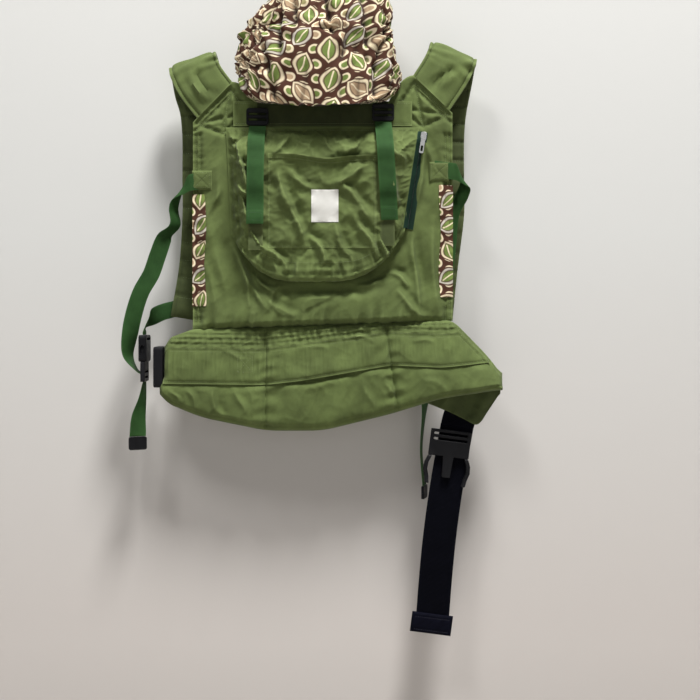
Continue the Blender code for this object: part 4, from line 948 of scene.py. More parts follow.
fit(label, "carrier", "label_cloth", "label_patch")
pale_thread = thread_look("pale_thread", (0.7, 0.68, 0.6))
loop = [(-14.2, -199), (22.2, -199), (22.2, -243), (-14.2, -243), (-14.2, -199)]
rows = laid(surface_of(label_grid), [loop], -28)
stitch_rows("label_stitching", rows, pale_thread, "carrier", 2.6, 1.9, 0.25)

# Zip: two woven tapes with a moulded coil of teeth, one along the panel and one along the pouch's edge,
# left half open, with a plated slider and pull at the top.


def smooth_path(points, count):
    """Rows read at even steps from a smooth curve through the given rows."""
    rows = np.array(points, float)
    ends = np.vstack((2 * rows[0] - rows[1], rows, 2 * rows[-1] - rows[-2]))
    found = []
    for place in np.linspace(0, len(rows) - 1, count):
        i = min(int(place), len(rows) - 2)
        t = place - i
        a, b, c, d = ends[i : i + 4]
        bend = (2 * a - 5 * b + 4 * c - d) * t * t + (3 * b - a - 3 * c + d) * t**3
        found.append(b + 0.5 * ((c - a) * t + bend))
    return np.array(found)


def woven_look(name, colour, pale, rib=200.0, bump_height=0.35, gloss=0.1):
    """Woven nylon webbing: ribs across its width, a flat selvedge and a slight sheen."""
    look = Look(name, colour, 0.7, gloss=gloss)
    cut = look.cut()
    ribs = look.wave(cut, rib, 0.8, 1.0, "Y")
    ends = look.wave(cut, rib * 1.4, 0.6, 1.0)
    cloud = look.noise(look.place(), 45.0, 4.0)
    dyed = look.mix(look.ramp(cloud, 0.35, 0.68), [c * 0.62 for c in colour], colour)
    dyed = look.mix(look.ramp(ribs, 0.7, 1.0), dyed, pale)
    look.give("Base Color", look.mix(look.ramp(look.raised(), 0.53, 0.62), dyed, pale))
    look.relief(look.math("ADD", ribs, look.math("MULTIPLY", ends, 0.5)), bump_height, 0.0005)
    return look.material


def woven_strap(name, stations, width, ply, count, look, hem=0.0, cup=0.0, columns=9, square_from=None):
    """Flat webbing through stations of x, y, z and the direction of its width. hem is the length of the
    folded end, which is twice as thick, and cup how far its middle bows. From the length square_from
    on, the width turns square to the run, so that webbing which twists keeps its full width."""
    rows = smooth_path(stations, count)
    centres, across = rows[:, :3], unit(rows[:, 3:6])
    along = unit(np.gradient(centres, axis=0))
    walked = walk(centres)
    if square_from is not None:
        slant = np.sum(across * along, axis=1) * ease((walked - square_from) / 45.0)
        across = unit(across - along * slant[:, None])
    normals = unit(np.cross(along, across))[:, None, :]
    shares = np.linspace(-1, 1, columns)
    offsets = shares * width / 2
    thick = np.where(walked > walked[-1] - hem, 1.9, 1.0)[:, None] * ply / 2
    thick = thick * (1 - 0.35 * np.abs(shares) ** 6)[None, :]
    bow = cup * (1 - shares**2)[None, :] * np.sin(np.pi * walked / walked[-1])[:, None]
    middle = centres[:, None, :] + across[:, None, :] * offsets[None, :, None]
    middle = middle + normals * bow[:, :, None]
    low, high = middle - normals * thick[:, :, None], middle + normals * thick[:, :, None]
    uv = np.stack(np.broadcast_arrays(offsets[None, :], walked[:, None]), -1)
    return sewn_shell(name, low, high, [look], 0.45, uv), low, high, walked


zip_green = woven_look("zip_tape_weave", (0.006, 0.02, 0.012), (0.014, 0.038, 0.024), 320.0, 0.2)
down = unit(np.array((-0.1543, 0.0, -1.0)))
across = np.array((-down[2], 0.0, down[0]))
zip_top, zip_end = [np.array((pouch_sides(z)[1], 0.0, z)) for z in (-107.0, -252.0)]
panel_tape = [(*(e + across * 8.0 + np.array((0, -0.8, 0))), *across) for e in (zip_top, zip_end)]
tape, *_ = woven_strap("zip_tape_panel", panel_tape, 12.0, 1.0, 60, zip_green)
fit(tape, "carrier", "green_webbing", "zip_tape")


def zip_spots(first, count):
    """Places down the zip, each with the Y of the pouch's edge beside it."""
    for share in np.linspace(first, 1, count):
        spot = zip_top + (zip_end - zip_top) * share
        yield spot, pouch_front(spot[0] - 1.5, spot[2], -9.0)


pouch_tape = [(s[0] + 2.0, lip + 1.6, s[2], 0.85, 0.5, 0.1) for s, lip in zip_spots(0, 12)]
tape, *_ = woven_strap("zip_tape_pouch", pouch_tape, 8.0, 0.9, 60, zip_green)
fit(tape, "carrier", "green_webbing")
coil = Look("zip_coil_nylon", (0.01, 0.018, 0.014), 0.4)
grain = coil.noise(coil.place(), 1500.0)
coil.give("Base Color", coil.mix(grain, (0.006, 0.011, 0.009), (0.02, 0.032, 0.026)))
teeth = []
for spot, lip in zip_spots(0.09, 74):
    middle = spot + across * 3.6 + np.array((0, -1.5, 0))
    teeth.append([middle - across * 1.5, middle + across * 1.5])
    middle = np.array((spot[0] + 5.6, lip + 3.4, spot[2]))
    teeth.append([middle - across * 1.4, middle + across * 1.4])
stitch_rows("zip_teeth", teeth, coil.material, "carrier", 3.0, 2.8, 0.7)


def dress(look, *nodes):
    """Gives a moulded or cast piece its finish."""
    for node in nodes:
        materials = frame["nodes"][node].data.materials
        materials.clear()
        materials.append(look)


# The plated casting has fine scratches, and dull patches from handling.
plating, dull = (0.62, 0.62, 0.6), 0.28
nickel = Look("zip_nickel", plating, dull, metallic=1.0, gloss=0.5)
place = nickel.place()
cloud = nickel.noise(place, 220.0, 4.0)
nickel.give("Base Color", nickel.mix(cloud, [c * 0.8 for c in plating], plating))
nickel.give("Roughness", nickel.ramp(cloud, 0.3, 0.7, dull * 0.7, dull * 1.5))
nickel.relief(nickel.wave(place, 260.0, 9.0, 3.0, "Z"), 0.08, 0.0002)
dress(nickel.material, "zip_slider", "zip_pull")

# Hood straps: two lengths of bottle-green nylon webbing that draw the hood down through moulded
# ladder-lock buckles on the neck band. They hang over the pouch and end in a folded, stitched hem.
WEB_WIDTH, WEB_PLY = 25.0, 1.4
HOOD_STRAP_DROP = 149.0
moulded = Look("moulded_black_plastic", (0.006, 0.006, 0.007), 0.36, gloss=0.1)
place = moulded.place()
cloud = moulded.noise(place, 90.0, 5.0)
tone = moulded.mix(cloud, (0.004, 0.004, 0.0045), (0.009, 0.009, 0.01))
tone = moulded.mix(moulded.ramp(moulded.raised(), 0.55, 0.75), tone, (0.025, 0.025, 0.028))
moulded.give("Base Color", tone)
moulded.give("Roughness", moulded.ramp(cloud, 0.3, 0.7, 0.28, 0.46))
moulded.relief(moulded.noise(place, 2200.0), 0.1, 0.0002)
plastic_black = moulded.material
green_web = woven_look("bottle_green_webbing", (0.021, 0.06, 0.015), (0.033, 0.088, 0.024))
web_thread = thread_look("bottle_green_thread", (0.03, 0.08, 0.028))


def hang(strap, walked, width, carrier, slot, node, support):
    fit(strap, carrier, slot, node)
    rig.sheet(strap, flat=(width * MM, float(walked[-1]) * MM), held="hung", rests_on=[support])


def pocket_front(x, z):
    """The Y of the nearer of the pouch and the slip pocket."""
    return min(pouch_front(x, z, -3.0), slip_front(x, z, 0.0))


dress(plastic_black, "hood_buckle_left", "hood_buckle_right")
for side, x, top, lean, keeper_shift in (
    ("left", -97.5, -99.4, -1.0, 0.5), ("right", 90.5, -92.8, 9.0, -3.0),
):
    stations = [(x, -4.6, top, 1, 0, 0), (x, -5.4, top - 2, 1, 0, 0)]
    for share in np.linspace(0.06, 1.0, 14):
        z = top - HOOD_STRAP_DROP * share
        at_x = x + lean * share
        spots = [(at_x + k, z + h) for k in (-12, -6, 0, 6, 12) for h in (-5, -2, 2, 5)]
        y = min(pocket_front(*spot) for spot in spots) - WEB_PLY
        if share < 0.2:
            y = min(y, -4.6 - 24.0 * float(ease(share / 0.2)))
        stations.append((at_x, y, z, 1, 0.02 * math.sin(share * 9), 0))
    for k in range(3, len(stations) - 1):
        smooth_y = min(stations[k][1], (stations[k - 1][1] + stations[k + 1][1]) / 2)
        stations[k] = (stations[k][0], smooth_y, *stations[k][2:])
    name = f"hood_strap_{side}"
    strap, low, high, walked = woven_strap(
        f"hood_strap_web_{side}", stations, WEB_WIDTH, WEB_PLY, 90, green_web, 20.0
    )
    hang(strap, walked, WEB_WIDTH, name, "green_webbing", name, f"hood_buckle_{side}")
    outer = low if low[45, 4, 1] < high[45, 4, 1] else high
    hem_row = int(np.searchsorted(walked, walked[-1] - 17.0))
    rows = [outer[hem_row, 1:-1], outer[-4, 1:-1], outer[hem_row:-3, 1], outer[hem_row:-3, -2]]
    stitch_rows(f"hood_strap_hem_{side}", rows, web_thread, name, 3.0, 2.2, 0.32)
    at_x, _, end_z = stations[-1][:3]
    at_x = at_x + keeper_shift
    keeper = []
    for z in np.linspace(end_z + 30, end_z - 38, 7):
        lip = min(pocket_front(at_x + k, z) for k in (-9, 0, 9))
        keeper.append((at_x, lip - 0.45, z, 1, 0, 0))
    loop, *_ = woven_strap(f"hood_strap_keeper_{side}", keeper, 21.0, 0.8, 40, canvas_lining)
    fit(loop, "carrier", "dark_canvas")

# Shoulder straps: long foam pads covered in canvas and lined in the darker cloth, sewn into the panel's
# upper corners. Each folds over its support and hangs down behind the panel to its webbing end.
STRAP_HALF, STRAP_END_HALF = 38.0, 35.0
FOAM_HALF = 6.3
SEAM_SHARE = 0.86
COVERED = [canvas, canvas_lining, canvas]
half_shares = np.array((0.15, 0.3, 0.44, 0.58, 0.7, 0.8, SEAM_SHARE, 0.9, 0.95, 0.985, 1))
shares = np.concatenate((-half_shares[::-1], [0], half_shares))
low_ends = {
    "left": ((186.0, 35.0, -310.0, -8.0), (199.0, 33.0, -390.0, -10.0)),
    "right": ((171.0, 35.0, -310.0, 5.0), (163.0, 33.0, -388.0, 5.0)),
}
for side, sign in (("left", -1.0), ("right", 1.0)):
    turn = math.atan(1 - sign * SLOPE)
    root_x = ROOT_X + STRAP_HALF * math.cos(turn)
    root_z = ROOT_Z + SLOPE * sign * root_x - (root_x - ROOT_X)
    higher = SLOPE * sign * 197.5
    fold_rows = (
        (root_x - 3.0 * math.sin(turn), 4.6, root_z - 3.0 * math.cos(turn), math.degrees(turn)),
        (183.0, 5.15, -25.0 + higher, 36.0), (194.5, 9.15, -2.0 + higher, 23.0),
        (197.5, 20.6, 9.0 + higher, 20.0), (195.0, 31.0, -3.0 + higher, 14.0),
        (189.0, 36.0, -38.0 + higher, 6.0), (181.0, 36.0, -75.0, 2.0),
        (178.0, 36.0, -115.0, 0.0), (178.0, 36.0, -170.0, 0.0), (178.0, 36.0, -230.0, 0.0),
    )
    rows = []
    for number, (x, y, z, roll) in enumerate(fold_rows + low_ends[side]):
        tilt = math.radians(roll)
        half = STRAP_HALF if number < len(fold_rows) else STRAP_END_HALF
        rows.append((sign * x, y, z, math.cos(tilt), 0.0, -sign * math.sin(tilt), half))
    rows = smooth_path(rows, 230)
    centres, across, halves = rows[:, :3], unit(rows[:, 3:6]), rows[:, 6]
    normals = unit(np.cross(unit(np.gradient(centres, axis=0)), across))
    walked = walk(centres)
    sw, ss = plane(walked, shares)
    thick = FOAM_HALF * (1 - 0.5 * np.abs(ss) ** 5)
    end_round = np.minimum(1, np.sqrt(np.clip((walked[-1] - sw) / 14.0, 0.02, 1)))
    stitched = 2.1 * bell(np.abs(ss) - SEAM_SHARE, 0.045)
    local_x = ss * 37.0
    soft = 0.8 * ripples(local_x, sw, 151 + int(sign), 8.0, 40.0, 30.0) * ease((1 - np.abs(ss)) / 0.3)
    soft = soft + 0.9 * bell(sw - 62.0, 16.0) * ripples(local_x, sw, 153, 5.0, 13.0, 14.0)
    crease = fold(local_x, sw, (-6.0 * sign, 2.0), (4.0 * sign, 62.0), 5.0, 3.6)
    crease = crease - fold(local_x, sw, (6.0 * sign, 4.0), (15.0 * sign, 58.0), 5.0, 2.6)
    quilt_places = np.arange(110.0, walked[-1] - 16.0, 28.0)
    quilted = np.zeros_like(sw)
    for place in quilt_places:
        quilted = np.maximum(quilted, bell(sw - place, 2.8))
    front = -(thick * end_round - stitched - crease + soft - 1.4 * quilted)
    back = thick * end_round - 0.7 * stitched - 0.5 * soft - 2.2 * quilted
    offsets = shares[None, :] * halves[:, None]
    middle = centres[:, None, :] + across[:, None, :] * offsets[:, :, None]
    face, rear = [middle + normals[:, None, :] * away[:, :, None] for away in (front, back)]
    strap_cut = np.stack((ss * STRAP_HALF, sw), -1)
    pad = sewn_shell(f"shoulder_strap_{side}", face, rear, COVERED, 0.75, strap_cut)
    nodes = [f"strap_{layer}_{side}" for layer in ("cover", "foam", "lining")]
    fit(pad, "carrier", "canvas", *nodes)
    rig.padded(pad, 0.6)
    lines, outward = [], []
    for column in (4, len(shares) - 5):
        for part in np.array_split(np.arange(2, len(face) - 3), 16):
            lines.append(face[part[0] : part[-1] + 2, column])
            outward.append(-normals[part[len(part) // 2]])
    for row in np.searchsorted(walked, quilt_places):
        lines += [face[row, 4:-4], rear[row, 4:-4]]
        outward += [-normals[row], normals[row]]
    stitch_rows(f"strap_stitching_{side}", lines, green_thread, "carrier", 3.6, 2.6, 0.4, outward)

# Side webbing: each length is sewn to the panel under a canvas patch with a boxed cross of stitches, hangs
# with a twist and runs into the male half of a side-release buckle. Its loose tail ends in a tab.
SEWN_Y = -1.0
LEFT_X, LEFT_Y, RIGHT_X, RIGHT_Y, MOUTH_Z = -269.0, 10.0, 157.0, 24.5, -452.0
BAR_GAP = 6.6 / 2 + 0.3 + 0.7
PATCH_HALF_X, PATCH_HALF_Z = 14.8, 14.4
left_face, right_face = LEFT_X - BAR_GAP, RIGHT_Y - BAR_GAP
low_z = MOUTH_Z - 30.3
runs = {
    "left": [
        (-168, SEWN_Y, -179, 0, 0, 1), (-182, SEWN_Y, -181, 0, 0, 1), (-196, SEWN_Y - 1, -183, 0, 0, 1),
        (-204, SEWN_Y - 1, -187, 0.1, 0, 1), (-217, 0, -201, 0.5, 0.6, 0.6), (-224, 3, -222, 0.4, 0.9, 0.1),
        (-222, 4, -246, 0.5, 0.85, 0.1), (-237, 2, -265, 0.8, 0.45, 0.45), (-247, 1, -291, 1, 0.3, 0.25),
        (-257, 0, -320, 1, 0.1, 0.35), (-272, -1, -347, 1, 0, 0.4), (-282, 0, -376, 1, 0.1, 0.3),
        (-289, 2, -407, 0.9, 0.4, 0.2), (-293, 6, -440, 0.5, 0.85, 0),
        (left_face - 9, LEFT_Y, -463, 0, 1, 0), (left_face - 0.3, LEFT_Y, -470, 0, 1, 0),
    ],
    "right": [
        (168, SEWN_Y, -163, 0, 0, -1), (182, SEWN_Y, -165, 0, 0, -1), (196, SEWN_Y - 1, -167, 0, 0, -1),
        (203, SEWN_Y - 1, -170, 0.1, 0, -1), (214, 2, -186, 0.5, -0.7, -0.5),
        (208, 12, -206, 0.8, -0.6, -0.1), (194, 16, -232, 1, -0.2, 0), (189, 16, -280, 1, 0, 0),
        (181, 15, -345, 1, 0, 0), (168, 14, -405, 1, 0, 0), (160, 14, -450, 1, 0, 0),
        (157, right_face - 5, -463, 1, 0, 0), (157, right_face - 0.3, -470, 1, 0, 0),
    ],
}
tails = {
    "left": [
        (LEFT_X, LEFT_Y, low_z, 0, 1, 0), (LEFT_X - 3, LEFT_Y - 2, low_z - 25, 0.3, 1, 0),
        (LEFT_X - 8, LEFT_Y - 5, low_z - 52, 0.7, 0.7, 0),
        (LEFT_X - 9, LEFT_Y - 7, low_z - 82, 0.9, 0.4, 0),
    ],
    "right": [
        (RIGHT_X, RIGHT_Y, low_z, 1, 0, 0), (RIGHT_X - 2, RIGHT_Y + 4, low_z - 40, 0.4, 0.9, 0),
        (RIGHT_X - 7, RIGHT_Y + 9, low_z - 105, 0.2, 1, 0),
        (RIGHT_X - 2, RIGHT_Y + 10, low_z - 160, 0.3, 1, 0),
    ],
}
strap_ends = {
    "left": [
        (-205, 41.6, -370, 0, 0, 1), (-230, 41.6, -373, -0.1, 0, 1), (-254, 35.6, -381, -0.4, -0.2, 0.8),
        (LEFT_X + 1, LEFT_Y + 15, -395, 0.3, -0.8, 0.5), (LEFT_X, LEFT_Y + 1, -407, 0, -1, 0.05),
        (LEFT_X, LEFT_Y, -411.7, 0, -1, 0),
    ],
    "right": [
        (RIGHT_X + 6, 25.1, -360, 1, 0, 0), (RIGHT_X + 4, 25.1, -385, 1, 0, 0),
        (RIGHT_X + 1, 24.8, -400, 1, 0, 0), (RIGHT_X, RIGHT_Y, -411.7, 1, 0, 0),
    ],
}


def crossed_box(corners):
    """A stitched box and both of its diagonals."""
    return [[*corners, corners[0]], [corners[0], corners[2]], [corners[1], corners[3]]]


for side, middle_x, middle_z, square_from in (
    ("left", -181.0, -180.0, 70.0), ("right", 175.0, -167.0, None),
):
    released = f"side_release_{side}"
    strap, _, _, walked = woven_strap(
        f"side_web_{side}", runs[side], WEB_WIDTH, WEB_PLY, 150, green_web, cup=0.6, square_from=square_from
    )
    stretched = ("carrier", released, (0, 0, -0.21), (0, 0, -0.455))
    hang(strap, walked, WEB_WIDTH, stretched, "green_webbing", f"side_webbing_{side}", "body_panel_canvas")
    gu, gv = plane(np.linspace(-1, 1, 27), np.linspace(-1, 1, 27))
    gx, gz = middle_x + PATCH_HALF_X * gu, middle_z + PATCH_HALF_Z * gv
    under = heights(body_front, gx, gz, 0.0)
    inward = np.minimum(1 - np.abs(gu), 1 - np.abs(gv)) * PATCH_HALF_Z
    corners = ((-0.8, -0.8), (0.8, -0.8), (0.8, 0.8), (-0.8, 0.8))
    crossed = crossed_box([(middle_x + PATCH_HALF_X * u, middle_z + PATCH_HALF_Z * v) for u, v in corners])
    pressed = np.zeros_like(gx)
    for line in crossed:
        pressed = np.maximum(pressed, sewn_line(gx, gz, line, 171, 0.7, 0.15, 1.3, 5.0))
    gy = np.minimum(under - 0.5, -0.9) - 2.3 * ease(inward / 3.0) + pressed
    face = np.stack((gx, gy, gz), -1)
    rear = np.stack((gx, np.maximum(gy + 0.7, under - 0.1), gz), -1)
    patch = sewn_shell(f"side_web_patch_{side}", face, rear, [canvas], 0.3)
    fit(patch, "carrier", "canvas")
    rows = laid(surface_of(face), crossed, -3.0, 2.0)
    stitch_rows(f"side_web_box_{side}", rows, green_thread, "carrier", 3.0, 2.2, 0.34)
    tail, _, _, walked = woven_strap(
        f"side_tail_web_{side}", tails[side], WEB_WIDTH, WEB_PLY, 70, green_web, cup=0.8
    )
    male = f"side_buckle_male_{side}"
    hang(tail, walked, WEB_WIDTH, released, "green_webbing", f"side_tail_{side}", male)
    end, _, _, walked = woven_strap(
        f"strap_end_web_{side}", strap_ends[side], WEB_WIDTH, WEB_PLY, 50, green_web
    )
    support = f"shoulder_strap_{side}"
    hang(end, walked, WEB_WIDTH, "carrier", "green_webbing", f"strap_end_webbing_{side}", support)
    dress(plastic_black, f"side_buckle_female_{side}", male, f"side_tail_tab_{side}")

# Chest strap: narrow webbing with a small side-release buckle. Its two sliders ride on webbing tracks
# sewn down the back of the shoulder straps, so that it can be set higher or lower.
CHEST_WIDTH, CHEST_Z = 20.0, -172.0
dark_web = woven_look("olive_track_webbing", (0.06, 0.078, 0.026), (0.085, 0.11, 0.04))
for side, sign, buckle_half in (("left", -1.0, 36.0), ("right", 1.0, 22.0)):
    x = sign * 178.0
    track = [(x, 28.5, z, 1, 0, 0) for z in (-107.0, CHEST_Z, -237.0)]
    track, *_ = woven_strap(f"chest_track_web_{side}", track, 15.0, WEB_PLY, 40, dark_web)
    fit(track, "carrier", "dark_canvas", f"chest_track_{side}")
    outer = x - sign * 17.3
    inner = sign * (buckle_half + 0.3)
    stations = []
    for share in np.linspace(0, 1, 6):
        z = CHEST_Z - 6.0 * math.sin(math.pi * share)
        stations.append((outer + (inner - outer) * share, 25.7, z, 0, 0, 1))
    strap, _, _, walked = woven_strap(f"chest_web_{side}", stations, CHEST_WIDTH, WEB_PLY, 70, green_web)
    slider = f"chest_slider_{side}"
    hang(strap, walked, CHEST_WIDTH, "chest_strap", "green_webbing", f"chest_strap_{side}", slider)
    dress(plastic_black, slider)
dress(plastic_black, "chest_buckle_female", "chest_buckle_male")

# Waist belt: three sections of canvas over foam, lined in the darker cloth and sewn together at upright
# seams. The end sections fold round the wearer where the panel's seam stops, so they bend there.
LEFT_END, RIGHT_END = -245.0, 270.0
LEFT_SEAM, RIGHT_SEAM, SEAM_SLANT = -85.5, 94.5, 18
CHANNEL_ROWS = (4.0, 11.5, 19.0)
BACK_ROWS = (0.05, 0.3, 0.55, 0.8)
CREST = 0.8
fold_left = ("carrier", "belt_left_end", (-0.178, 0, 0), (-0.212, 0, 0))
fold_right = ("carrier", "belt_right_end", (0.178, 0, 0), (0.212, 0, 0))


def softened(x, reach, places, levels):
    """A line through the given places with its corners rounded over reach."""
    return sum(np.interp(x + k * reach, places, levels) for k in (-1, -0.5, 0, 0.5, 1)) / 5


def belt_top(x):
    past = np.abs(x) - HALF_BODY
    left = softened(past, 5.0, (0, 36, 43), (0, -12, -30))
    right = softened(past, 9.0, (0, 52, 75), (0, -55, -86))
    return seam_z(x) + np.where(x < 0, left, right)


def belt_bottom(x):
    places = (-238, -183, -85, 0, 102, 177, 270)
    line = softened(x, 16.0, places, (-512, -535, -555, -555, -530, -507, -493)) - 1.0
    return line + 15.0 * np.clip((-222.0 - x) / 24.0, 0, 1) ** 2


def band_top(x):
    line = softened(x, 10.0, (-238, -85, 100, 177, 250), (-428, -430, -405, -408, -402))
    return np.minimum(line - 1.0, belt_top(x) - 7.0)


def band_bottom(x):
    line = softened(x, 8.0, (-238, -85, -33, 102, 177, 244), (-484, -486, -480, -457, -460, -453))
    return np.minimum(line, band_top(x) - 0.8)


def belt_edge(x, z):
    """How far in from the lower edge and both ends. At the left end the foam bulges past the stitched
    band below it."""
    left_end = LEFT_END + 7.0 * (1 - ease((-474.0 - z) / 14.0))
    return np.minimum.reduce((z - belt_bottom(x), (RIGHT_END - x) * 1.2, (x - left_end) * 1.2))


def belt_face(x, z):
    """How far the belt's front stands out: foam crown, stitched channels, dents and washed creases."""
    top, bottom = belt_top(x), belt_bottom(x)
    share = np.clip((top - z) / np.maximum(top - bottom, 1.0), 0, 1)
    upper = 0.62 * np.abs((share - CREST) / CREST) ** 1.5
    crown = np.where(share < CREST, upper, 0.4 * np.abs((share - CREST) / 0.2) ** 3)
    stand = 16.0 * (1 - crown) + 14.0 * share * ease((x - 100.0) / 110.0)
    for seam in (LEFT_SEAM, RIGHT_SEAM + SEAM_SLANT * share):
        stand = stand - 6.5 * np.exp(-np.abs(x - seam) / 3.0) - 1.6 * bell(x - seam, 11.0)
        stand = stand + 0.9 * ripples(z, x, 211, 84.0, 17.0, 14.0) * bell(x - seam, 18.0)
    over = z - band_top(x)
    for row in CHANNEL_ROWS:
        stand = stand - 1.5 * bell(over - row, 1.9)
    drawn = 0.7 * ripples(x, z, 221, 86.0, 11.0, 18.0) + creases(x, z, 223, 14.0, 16.0, 25.0)
    stand = stand + bell(over - 9.0, 13.0) * drawn
    below = band_bottom(x) - z
    stand = stand - 2.0 * bell(below - 1.0, 6.0)
    stand = stand - 2.2 * bell(z - bottom - 8.0, 2.0)
    loose = 1.6 * ripples(x, z, 231, 80.0, 52.0, 16.0) + 0.7 * creases(x, z, 241, 66.0, 26.0, 30.0)
    stand = stand + ease(below / 10.0) * loose
    stand = stand + 0.35 * creases(x, z, 251, 10.0, 30.0, 60.0)
    for soft_fold in (
        ((-202, -490), (-186, -522), 5, 2.6), ((-168, -496), (-148, -534), 5, 2.6),
        ((-222, -492), (-214, -512), 4, 2.2), ((-128, -492), (-116, -530), 6, 1.8),
        ((-34, -490), (30, -482), 7, 2.2), ((60, -476), (74, -520), 6, 2.0),
        ((92, -470), (108, -512), 5, 2.4), ((150, -476), (186, -492), 7, 2.4),
        ((-150, -436), (-112, -446), 4, 1.6), ((-40, -424), (10, -434), 4, 1.8),
        ((30, -412), (78, -420), 4, 1.8), ((130, -416), (168, -424), 4, 1.8),
    ):
        stand = stand + fold(x, z, *soft_fold)
    edge = np.clip(belt_edge(x, z) / 13.0, 0.0, 1.0)
    rolled = np.sqrt(edge * (2 - edge))
    seam_roll = np.sqrt(np.clip((top - z + 1.0) / 7.0, 0.0, 1.0))
    return 3.5 - (stand + 3.5) * rolled * (0.45 + 0.55 * seam_roll)


def back_row(x, share):
    return belt_top(x) + (belt_bottom(x) - belt_top(x)) * share


def belt_back(x, z):
    """The lining side: flat over the foam, quilted through in rows along the belt."""
    edge = belt_edge(x, z)
    sunk = 2.2 * np.maximum(np.exp(-np.abs(x - LEFT_SEAM) / 3.0), np.exp(-np.abs(x - 104.0) / 3.0))
    for share in BACK_ROWS:
        sunk = np.maximum(sunk, 2.4 * bell(z - back_row(x, share), 3.0))
    return 3.5 + 6.7 * np.sqrt(np.clip(edge / 9.0, 0, 1)) - sunk * ease(edge / 12.0)


# Each section reaches from one edge to another, and neighbours overlap at their seam.
sections = (
    (
        "left", lambda v: LEFT_END + 7 * (1 - ease((v - 0.5) / 0.16)), lambda v: -84.5 + 0 * v,
        110, fold_left,
    ),
    ("centre", lambda v: -86.5 + 0 * v, lambda v: 95.5 + SEAM_SLANT * v, 120, "carrier"),
    ("right", lambda v: 93.5 + SEAM_SLANT * v, lambda v: RIGHT_END + 0 * v, 104, fold_right),
)
for name, near_x, far_x, count, carrier in sections:
    bu, bv = plane(np.linspace(0, 1, count), np.linspace(0, 1, 90))
    bx = near_x(bv) + (far_x(bv) - near_x(bv)) * bu
    bz = belt_top(bx) + 1.5 + (belt_bottom(bx) - belt_top(bx) - 1.5) * bv
    face = np.stack((bx, belt_face(bx, bz), bz), -1)
    rear = np.stack((bx, np.maximum(belt_back(bx, bz), face[..., 1] + 1.0), bz), -1)
    belt = sewn_shell(f"belt_{name}_section", face, rear, COVERED, 0.12)
    fit(belt, carrier, "canvas", *[f"belt_{name}_{layer}" for layer in ("cover", "foam", "lining")])
    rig.padded(belt, 0.7)
    belt_front = surface_of(face)
    near, far = near_x(np.full(90, 0.3)), far_x(np.full(90, 0.3))
    line_x = near + (far - near) * np.linspace(0.02, 0.98, 90)
    lines = []
    for row in CHANNEL_ROWS:
        line = zip(line_x, np.minimum(band_top(line_x) + row, belt_top(line_x) - 3.0))
        lines.append([(x, belt_front(x, z), z) for x, z in line if LEFT_END + 8 < x < RIGHT_END - 40])
    outward = [TO_VIEWER] * len(lines) + [TO_WALL] * len(BACK_ROWS)
    inside = line_x[(line_x > LEFT_END + 14) & (line_x < RIGHT_END - 14)]
    for share in BACK_ROWS:
        lines.append([(x, belt_back(x, back_row(x, share)), back_row(x, share)) for x in inside])
    stitch_rows(f"belt_{name}_stitching", lines, green_thread, carrier, normals=outward)

# Belt band: a separate strip of canvas sewn along the belt above its lower edge. In the middle its hem
# stands open as a channel for the webbing; at both ends it is stitched down.
BAND_CLOTH = 1.0
for name, near_x, far_x, count, carrier in sections:
    gu, gv = plane(np.linspace(0, 1, count), np.linspace(0, 1, 34))
    near, far = near_x(gv * 0.4 + 0.25), far_x(gv * 0.4 + 0.25)
    gx = np.clip(near + (far - near) * gu, -237.5, 249.0)
    gz = band_top(gx) + (band_bottom(gx) - band_top(gx)) * gv
    open_hem = np.exp(-((gx / 52.0) ** 4)) * ease((gv - 0.45) / 0.5)
    proud = 1.3 + 0.9 * bell(gv - 0.5, 0.3) + 1.1 * ease((gv - 0.5) / 0.5) + 3.6 * open_hem
    loose = 0.6 * ripples(gx, gz, 261, 80.0, 30.0, 25.0) + 0.35 * ripples(gx, gz, 263, 88.0, 6.5, 8.0)
    proud = proud + np.sin(np.pi * gv) * loose
    proud = proud - 0.8 * bell(band_top(gx) - gz - 5.0, 3.0) - 0.7 * bell(gz - band_bottom(gx) - 3.0, 1.6)
    face = np.stack((gx, belt_face(gx, gz) - proud, gz), -1)
    band = sewn_shell(f"belt_band_{name}", face, BAND_CLOTH, COVERED, 0.1)
    fit(band, carrier, "canvas", *(["belt_band"] if name == "centre" else []))
    band_front = surface_of(face)
    line_x = np.linspace(gx[2, 0], gx[-3, 0], 110)
    lines = []
    for line_z in (band_top(line_x) - 2.5, band_top(line_x) - 7.0, band_bottom(line_x) + 3.0):
        lines.append([(x, band_front(x, z, -9.0), z) for x, z in zip(line_x, line_z)])
    if name == "left":
        corners = [(-126, -467), (-104, -467), (-104, -443), (-126, -443)]
        lines += laid(band_front, crossed_box(corners), -9.0)
    stitch_rows(f"belt_band_stitching_{name}", lines, green_thread, carrier)

# Belt flap: the darker lining of the right end hangs below the padded section and backs the waist strap.
# It is a single loose cloth, held behind the section.
FLAP_CLOTH = 1.2
gx, gv = plane(np.linspace(150.0, 268.0, 60), np.linspace(0, 1, 40))
flap_bottom = softened(gx - HALF_BODY, 6.0, (-45, 0, 39, 63, 75), (-512, -530, -550, -514, -496))
flap_top = np.maximum(np.minimum(belt_top(gx) - 20.0, -450.0), flap_bottom + 6.0)
gz = flap_top + (flap_bottom - flap_top) * gv
loose = 1.6 * ripples(gx, gz, 271, 70.0, 34.0, 25.0) + 1.2 * creases(gx, gz, 273, 50.0, 24.0)
face = np.stack((gx, np.minimum(8.2 - ease(gv / 0.4) * loose, 9.2), gz), -1)
flap = sewn_shell("belt_flap_lining", face, FLAP_CLOTH, [canvas_lining], 0.4)
fit(flap, fold_right, "dark_canvas")

